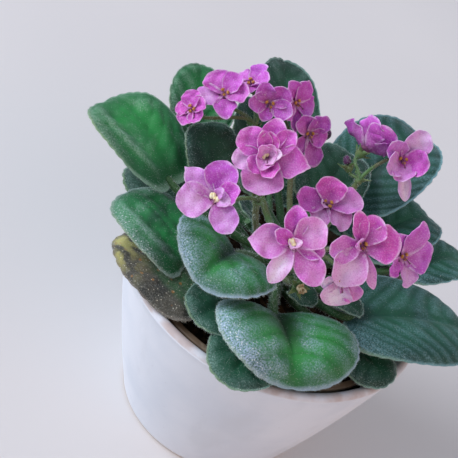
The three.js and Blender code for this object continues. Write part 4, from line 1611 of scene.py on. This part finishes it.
# each row: name, centre, face, petals; each petal: turn, length, width, lift, pale, point
P = Petal
FLOWERS: List[Flower] = [
    Flower("flower_centre", (-26, -14, 150), (-95, 42),
           [P(-73, 15, 12, 16), P(-11, 16, 10, 14), P(22, 15, 9, 20), P(75, 16, 13, 12, point=1.2),
            P(163, 16, 17, 14, 0.25), P(240, 14, 10, 8, 0.4), P(-38, 12, 6, 42), P(140, 11, 8, 38)],
           heart=[P(10, 8, 7, 62, 0.3), P(62, 8.5, 6, 56, 0.7), P(176, 8, 7.5, 54, 0.2),
                  P(118, 7.5, 6, 62, 0.4), P(-58, 8, 6, 66, 0.3), P(205, 11, 8, 34),
                  P(-20, 11, 8, 38)],
           tint=0.15, anthers=Anthers.CREAM, anther_spots=((-1.6, -0.8), (-0.9, 0.9))),
    Flower("flower_left", (-37, -36, 138), (-106, 40),
           [P(-80, 16, 9, 14, 0.2, 1.0), P(-15, 15, 13, 22), P(46, 12, 9, 34),
            P(120, 15, 11, 8, 0.25), P(228, 15, 14, 18, 0.35)],
           heart=[P(30, 8, 4, 62, 0.3), P(75, 8, 6, 40, 0.4)],
           tint=0.6, anthers=Anthers.CREAM, anther_spots=((-1.0, 0.2), (1.0, -0.2))),
    Flower("flower_front", (-4, -46, 142), (-86, 40),
           [P(-19, 14, 9, 22), P(37, 14, 13, 26, 0.25), P(85, 12, 8, 8), P(125, 18, 11, 10, 0.15),
            P(190, 17, 8, 12, 0.7), P(253, 16, 13, 12, 0.25, 0.8), P(278, 10, 6, 36)],
           heart=[P(60, 5, 4, 72, 0.6), P(130, 5, 4.5, 70, 0.4), P(200, 4.5, 4, 70, 0.5)],
           tint=0.25, anthers=Anthers.CREAM, anther_spots=((-1.2, 0.3), (-0.2, -0.9))),
    Flower("flower_front_back", (4, -8, 138), (-78, 66),
           [P(262, 14, 12, 10), P(-4, 12, 13, 30), P(66, 16, 12, 14, 0.15), P(122, 13, 11, 2, 0.3),
            P(200, 12, 9, 6, 0.3)],
           heart=[P(235, 6, 4, 50, 0.5)], tint=0.2, style_turn=240),
    Flower("flower_front_right", (21, -26, 140), (-78, 42),
           [P(-30, 15, 7, 32), P(15, 13, 12, 20), P(70, 16, 15, 10), P(144, 18, 5, 4, 0.3),
            P(194, 18, 15, 14, 0.45), P(240, 14, 11, 18, 0.1)],
           heart=[P(-80, 6, 5, 66, 0.3), P(-110, 5, 4, 60)], tint=0.2, style_turn=140),
    Flower("flower_front_under", (20, -36, 128), (-80, 8),
           [P(115, 11, 9, 10, 0.2), P(175, 11, 13, 14, 0.75), P(240, 8, 7, 10, 0.7)], tint=0.3),
    Flower("flower_right_low", (41, -8, 131), (-42, 34),
           [P(-30, 12, 10, 20), P(26, 17, 12, 26), P(96, 17, 15, 12), P(158, 15, 9, 10, 0.35),
            P(225, 10, 8, 10)], tint=0.6),
    Flower("flower_right", (28, 35, 148), (-78, 28),
           [P(18, 17, 12, 28, 0.5), P(78, 13, 12, 42), P(152, 19, 6, 4, 0.75),
            P(168, 11, 11, 44, 0.2), P(236, 11, 11, 44, 0.3), P(305, 12, 10, 34, 0.15)],
           tint=0.55),
    Flower("flower_right_back", (12, 38, 143), (60, 38),
           [P(-100, 13, 14, 42), P(-36, 16, 17, 45), P(29, 16, 17, 46), P(92, 17, 14, 20),
            P(180, 14, 13, 40)], tint=0.5),
    Flower("flower_back_left", (-63.2, 13.4, 138.4), (-130, 36),
           [P(-50, 9, 9, 20), P(22, 8, 8, 20), P(94, 8, 8, 14), P(166, 8, 9, 10), P(238, 8, 8, 14)],
           tint=0.3),
    Flower("flower_back_large", (-54, 22, 147), (-116, 56),
           [P(-72, 12, 13, 12), P(0, 11, 10, 30), P(58, 12, 10, 22), P(130, 12, 10, 8),
            P(215, 13, 12, 6, 0.3)], tint=0.5),
    Flower("flower_back_top", (-46, 35, 150), (-150, 56),
           [P(-30, 11, 9, 24), P(40, 11, 9, 30), P(105, 10, 9, 20), P(180, 9, 9, 8),
            P(250, 10, 9, 10)], tint=0.55),
    Flower("flower_back_throat", (-35, 26, 150), (-84, 22),
           [P(-40, 11, 9, 34), P(34, 12, 10, 30), P(88, 12, 9, 30), P(180, 8, 7, 30),
            P(262, 10, 9, 34)], tint=0.5),
    Flower("flower_back_fold", (-25.4, 34.3, 151), (-30, 30),
           [P(-30, 12, 9, 18), P(40, 12, 10, 20), P(110, 13, 10, 12), P(180, 14, 8, 6),
            P(250, 11, 9, 14)], tint=0.6),
    Flower("flower_back_right", (-14, 33, 141), (-60, 16),
           [P(-36, 11, 10, 20), P(24, 12, 10, 24), P(92, 9, 9, 24), P(150, 17, 9, 8),
            P(205, 14, 8, 6)], tint=0.7),
]


@dataclass
class Bud(Head):
    """A closed bud: furled petals in an egg shape."""

    radius: float
    back: float = 1.8
    furls: int = 5
    furl_depth: float = 0.16

    def build(self, wardrobe: Wardrobe) -> None:
        """Shapes, dresses and hands over the bud."""
        size = self.radius
        line = [(0.0, -self.back)]
        line += [(size * math.cos(a) ** 0.8, size * (1.45 if a > 0 else 1.0) * math.sin(a))
                 for a in np.radians(np.linspace(-32, 86, 13))]
        line.append((0.0, 1.5 * size))
        egg = spun(self.name + "_egg", line, 40)
        points = points_of(egg)
        away = np.hypot(points[:, 0], points[:, 1])
        turn = np.arctan2(points[:, 1], points[:, 0]) + 0.35 * points[:, 2] / size
        furl = np.abs(np.sin(self.furls / 2 * turn)) ** 0.5
        shrink = 1 - self.furl_depth * (1 - furl) * smooth(away / size, 0.1, 0.6)
        points[:, :2] *= shrink[:, None]
        move_points(egg, points)
        egg = shade(turned_to(dress(egg, wardrobe.bud), self.axes()))
        coat = Fuzz(160, length=0.6, width=0.06, lean=0.6).grow(egg, wardrobe.fuzz)
        settle(join([egg, coat], self.name + "_closed"), self.name)


@dataclass
class SpentFlower(Head):
    """What is left of a dropped flower: a cream tuft of dried petal ends round a small pod."""

    radius: float
    scraps: int = 9

    def build(self, wardrobe: Wardrobe) -> None:
        """Shapes, dresses and hands over the tuft."""
        axes = self.axes()
        rng = seeded(self.name)
        size = self.radius
        line = [(0.0, -1.8), (0.7 * size, -1.6), (size, 0.0), (0.7 * size, 1.2), (0.0, 1.6)]
        pieces = [turned_to(dress(spun(self.name + "_pod", line, 16), wardrobe.spent), axes)]
        for number in range(self.scraps):
            scrap = Petal(turn=360 / self.scraps * number + rng.uniform(-9, 9),
                          length=rng.uniform(2.4, 3.4), width=rng.uniform(1.2, 2.0),
                          lift=rng.uniform(25, 80), cells=8)
            sheet = scrap.build(f"{self.name}_scrap_{number}", axes, 0)
            pieces.append(dress(sheet, wardrobe.spent))
        settle(shade(join(pieces, self.name + "_tuft")), self.name)


BUDS = [
    Bud("bud_back", (-8, 43, 138), (30, 20), 3.2),
    Bud("bud_right", (7, 31, 138), (150, 45), 1.8),
]
SPENT = SpentFlower("spent_flower", (9, -29, 110), (-60, 30), 1.6)
HEADS: Dict[str, Axes] = {head.name: head.axes() for head in [*FLOWERS, *BUDS, SPENT]}


# ---------------------------------------------------------------- stalks and crown


@dataclass
class Stalk:
    """A flower stalk: it grows from the crown to a fork, and a pedicel runs on to each head."""

    name: str
    root: float                  # height on the crown
    aim: float                   # compass direction that it leaves in
    fork: Triple
    heads: List[str]
    radius: float = 1.5
    start: float = 0.15          # how far it runs outwards before it climbs, by its length
    handle: float = 0.4          # how far it and the pedicels run straight into their ends
    pedicel: float = 0.9         # radius
    root_radius: float = 8.3     # distance from the crown's axis where it starts
    cup: float = 3.2             # length of the green cup behind a head
    cup_radius: float = 2.4
    sepals: int = 5

    def calyx(self, axes: Axes, name: str, wardrobe: Wardrobe) -> List[Piece]:
        """Makes the green cup behind a head, with its five narrow sepals."""
        front = -PARTS.throat_back - GAP
        line = [(0.0, front - self.cup), (0.9 * self.pedicel, front - self.cup)]
        line += [(0.75 * self.cup_radius, front - 0.62 * self.cup), (self.cup_radius, front - 0.8)]
        line += [(0.8 * self.cup_radius, front), (0.0, front)]
        cup = shade(turned_to(dress(spun(name + "_cup", line, 16), wardrobe.sepal), axes), 50)
        behind = Axes(axes.centre + (front - 1.6) * axes.face, axes.face, axes.up, axes.right)
        made = [cup]
        for number in range(self.sepals):
            leaflet = Petal(turn=360 / self.sepals * number + 20, length=5.2, width=2.1, lift=38,
                            point=0.8, cells=8)
            sepal = leaflet.build(f"{name}_sepal_{number}", behind, 0)
            made.append(shade(dress(sepal, wardrobe.sepal)))
        return made

    def branch(self, climb: Array, axes: Axes, name: str, wardrobe: Wardrobe) -> Piece:
        """Lays one pedicel from the fork to the back of a head."""
        fork = np.array(self.fork, float)
        end = axes.centre + (0.6 - PARTS.throat_back - GAP - self.cup) * axes.face
        hold = self.handle * float(np.linalg.norm(end - fork))
        course = [fork, fork + hold * climb, end - hold * axes.face, end]
        bar = tube(name, course, (self.pedicel, 0.85 * self.pedicel), 14)
        return shade(dress(bar, wardrobe.stalk))

    def bracts(self, climb: Array, wardrobe: Wardrobe) -> List[Piece]:
        """Makes the two small bracts at the fork."""
        side = unit(np.cross(climb, UP + 0.3 * climb))
        collar = Axes(np.array(self.fork, float), climb, unit(np.cross(side, climb)), side)
        made = []
        for number, turn in enumerate((80, 260)):
            leaflet = Petal(turn, length=5.5, width=2.4, lift=48, point=1.0, cells=8)
            bract = leaflet.build(f"{self.name}_bract_{number}", collar, 0)
            made.append(shade(dress(bract, wardrobe.sepal)))
        return made

    def build(self, wardrobe: Wardrobe) -> None:
        """Shapes, dresses and hands over the stalk with its pedicels."""
        outward = heading(self.aim)
        root = outward * self.root_radius + UP * self.root
        fork = np.array(self.fork, float)
        reach = float(np.linalg.norm(fork - root))
        climb = unit(unit(fork - root) + UP)
        course = [root, root + self.start * reach * outward]
        course += [fork - self.handle * reach * climb, fork]
        stem = tube(self.name + "_stem", course, (self.radius * 1.05, self.radius * 0.9), 24)
        bars = [shade(dress(stem, wardrobe.stalk))]
        knuckle = ball(self.name + "_knuckle", 1.15 * self.radius, fork, 16, 10)
        bars.append(shade(dress(knuckle, wardrobe.stalk)))
        greens = self.bracts(climb, wardrobe)
        for number, head in enumerate(self.heads):
            axes = HEADS[head]
            bars.append(self.branch(climb, axes, f"{self.name}_pedicel_{number}", wardrobe))
            greens += self.calyx(axes, f"{self.name}_calyx_{number}", wardrobe)
        wood = join(bars, self.name + "_bars")
        green = join(greens, self.name + "_greens")
        count = len(self.heads)
        coarse = Fuzz(260 + 160 * count, length=1.1, width=0.06, lean=0.35)
        fine = Fuzz(120 * count, length=0.8, width=0.06, lean=0.5)
        coats = [coarse.grow(wood, wardrobe.fuzz), fine.grow(green, wardrobe.fuzz)]
        settle(join([wood, green, *coats], self.name + "_branch"), self.name)


# each row: name, root, aim, fork, heads
STALKS = [
    Stalk("stalk_left", 103, 204, (-22, -22, 134), ["flower_centre", "flower_left"]),
    Stalk("stalk_front", 100, -76, (8, -24, 124),
          ["flower_front", "flower_front_back", "flower_front_right", "flower_front_under",
           "flower_right_low"]),
    Stalk("stalk_spent", 98, -92, (6, -22, 106), ["spent_flower"]),
    Stalk("stalk_right", 100, 46, (15, 26, 134),
          ["flower_right", "flower_right_back", "bud_right"]),
    Stalk("stalk_back_left", 103, 142, (-36, 26, 135),
          ["flower_back_left", "flower_back_large", "flower_back_top", "flower_back_throat"]),
    Stalk("stalk_back", 103, 96, (-15, 33, 127),
          ["flower_back_fold", "flower_back_right", "bud_back"]),
]


@dataclass
class Crown:
    """The short scarred stem that everything grows from, with a few leaves just starting."""

    base: float = 83.9
    foot: float = 7.2
    radius: float = 8.0
    flare: float = 4.0
    shoulder: float = 105.0
    top: float = 109.0
    cap: float = 4.8
    sides: int = 64
    young: int = 6

    def body(self) -> Piece:
        """Turns the stem and roughens it with leaf scars."""
        line = [(0.0, self.base), (self.foot, self.base)]
        line += [(self.radius, z) for z in np.linspace(self.base + self.flare, self.shoulder, 16)]
        line += [(0.85 * self.radius, self.shoulder + 1.6), (self.cap, self.top - 1)]
        line += [(0.0, self.top)]
        piece = spun("crown_body", line, self.sides)
        points = points_of(piece)
        scars = np.array([noise.noise(Vector(p * (0.35, 0.35, 0.5))) for p in points])
        rings = 0.2 * np.sin(points[:, 2] * 2.2)
        above_foot = smooth(points[:, 2], self.base, self.base + 2)
        shrink = 1 + (0.07 * scars + 0.02 * rings - 0.03) * above_foot
        points[:, :2] *= shrink[:, None]
        move_points(piece, points)
        return piece

    def starts(self, wardrobe: Wardrobe) -> List[Piece]:
        """Makes the small leaves that are just starting at the top."""
        made = []
        collar = Axes(UP * (self.top - 1.2), UP, heading(90), heading(0))
        for number in range(self.young):
            leaflet = Petal(turn=GOLDEN_TURN * number, length=7 - 0.5 * number,
                            width=5 - 0.3 * number, lift=50 + 5 * number, cells=12)
            sheet = leaflet.build(f"young_leaf_{number}", collar, 0)
            made.append(shade(dress(sheet, wardrobe.leaf[LeafTone.FROSTED]), 75))
        return made

    def build(self, wardrobe: Wardrobe) -> None:
        """Shapes, dresses and hands over the crown."""
        body = shade(dress(self.body(), wardrobe.petiole))
        starts = join(self.starts(wardrobe), "young_leaves")
        coarse = Fuzz(500, length=1.2, width=0.07, lean=0.4).grow(body, wardrobe.fuzz)
        fine = Fuzz(500, length=0.9, width=0.07, lean=0.5).grow(starts, wardrobe.fuzz)
        settle(join([body, starts, coarse, fine], "crown_body"), "crown")


# ---------------------------------------------------------------- studio


@dataclass
class Studio:
    """A plain pale floor, soft light from the upper left, and the camera."""

    eye: Triple = (-27.5, -278.96, 317.24)
    elevation: float = 38.0
    roll: float = 25.4
    focal: float = 62.88         # on a 36 mm wide sensor
    sensor: float = 36.0
    floor_size: float = 20.0     # metres

    def floor(self) -> None:
        """Lays the floor."""
        deselect()
        bpy.ops.mesh.primitive_plane_add(size=self.floor_size, location=(0, 0, -0.3 * MM))
        ground = fresh("studio_floor")
        board = Board("studio_floor")
        board.ground("d8d6d6", "dddbda", board.patches(2.5, 0.3, 0.7))
        board.finish(Roughness=0.8, Specular_IOR_Level=0.2)
        dress(ground, board.material)

    def hang(self, lamp: bpy.types.Light, place: Triple, tint: str) -> None:
        """Hangs a light at a place in metres, looking at the plant, and tints it."""
        lamp.color = colour(tint)[:3]
        holder = bpy.data.objects.new(lamp.name, lamp)
        holder.location = place
        aim = Vector((0, 0, 0.1)) - Vector(place)
        holder.rotation_euler = aim.to_track_quat("-Z", "Y").to_euler()
        bpy.context.scene.collection.objects.link(holder)

    def glow_from(self, name: str, place: Triple, spread: float, strength: float,
                  tint: str) -> None:
        """Sends an even glow over the whole floor from one side.

        Args:
            name: its name.
            place: the direction that it comes from, as a place in metres.
            spread: how wide it looks from the plant, in degrees.
            strength: its strength, in watts to a square metre.
            tint: its colour.
        """
        lamp = bpy.data.lights.new(name, "SUN")
        lamp.angle = math.radians(spread)
        lamp.energy = strength
        self.hang(lamp, place, tint)

    def softbox(self, name: str, place: Triple, size: float, power: float, tint: str) -> None:
        """Hangs a square soft light that looks at the plant.

        Args:
            name: its name.
            place: where it hangs, in metres.
            size: its side, in metres.
            power: its power, in watts.
            tint: its colour.
        """
        lamp = bpy.data.lights.new(name, "AREA")
        lamp.shape = "SQUARE"
        lamp.size = size
        lamp.energy = power
        self.hang(lamp, place, tint)

    def lights(self) -> None:
        """Hangs the lights and sets the room's own glow."""
        self.softbox("window", (-3.8, -0.4, 2.4), size=3.0, power=194.0, tint="f2f5ff")
        self.glow_from("bounce", (1.3, -0.9, 0.5), spread=60.0, strength=0.8, tint="ffae6c")
        world = bpy.data.worlds.new("room")
        world.use_nodes = True
        glow = next(n for n in world.node_tree.nodes if n.type == "BACKGROUND")
        glow.inputs["Color"].default_value = colour("e2eaf8")
        glow.inputs["Strength"].default_value = 0.6
        bpy.context.scene.world = world

    def camera(self) -> None:
        """Sets the camera: it looks down on the plant, rolled a little."""
        tilt, roll = math.radians(self.elevation), math.radians(self.roll)
        back = np.array([0.0, -math.cos(tilt), math.sin(tilt)])
        level, upright = np.array([1.0, 0.0, 0.0]), np.array([0.0, math.sin(tilt), math.cos(tilt)])
        right = math.cos(roll) * level + math.sin(roll) * upright
        above = math.cos(roll) * upright - math.sin(roll) * level
        view = bpy.data.cameras.new("camera")
        view.lens = self.focal
        view.sensor_width = self.sensor
        view.clip_start = 0.01
        holder = bpy.data.objects.new("camera", view)
        place = Matrix(np.column_stack([right, above, back]).tolist()).to_4x4()
        place.translation = Vector(np.array(self.eye) * MM)
        holder.matrix_world = place
        bpy.context.scene.collection.objects.link(holder)
        bpy.context.scene.camera = holder

    def build(self) -> None:
        """Sets up the whole studio."""
        self.camera()
        self.floor()
        self.lights()
        bpy.context.scene.view_settings.view_transform = "Standard"


# ---------------------------------------------------------------- assembly


def main() -> None:
    """Builds the plant, its pots and the studio, in order."""
    logging.basicConfig(level=logging.INFO, format="%(message)s")
    wardrobe = Wardrobe()
    Studio().build()
    CoverPot().build(wardrobe)
    nursery = NurseryPot()
    nursery.build(wardrobe)
    Soil(nursery).build(wardrobe)
    Crown().build(wardrobe)
    for leaf in LEAVES:
        leaf.build(wardrobe)
    patterns = {kind: AntherPattern(kind, wardrobe) for kind in Anthers}
    for flower in FLOWERS:
        flower.build(wardrobe, patterns)
    for pattern in patterns.values():
        pattern.clear()
    for bud in BUDS:
        bud.build(wardrobe)
    SPENT.build(wardrobe)
    for stalk in STALKS:
        stalk.build(wardrobe)


if __name__ == "__main__":
    main()
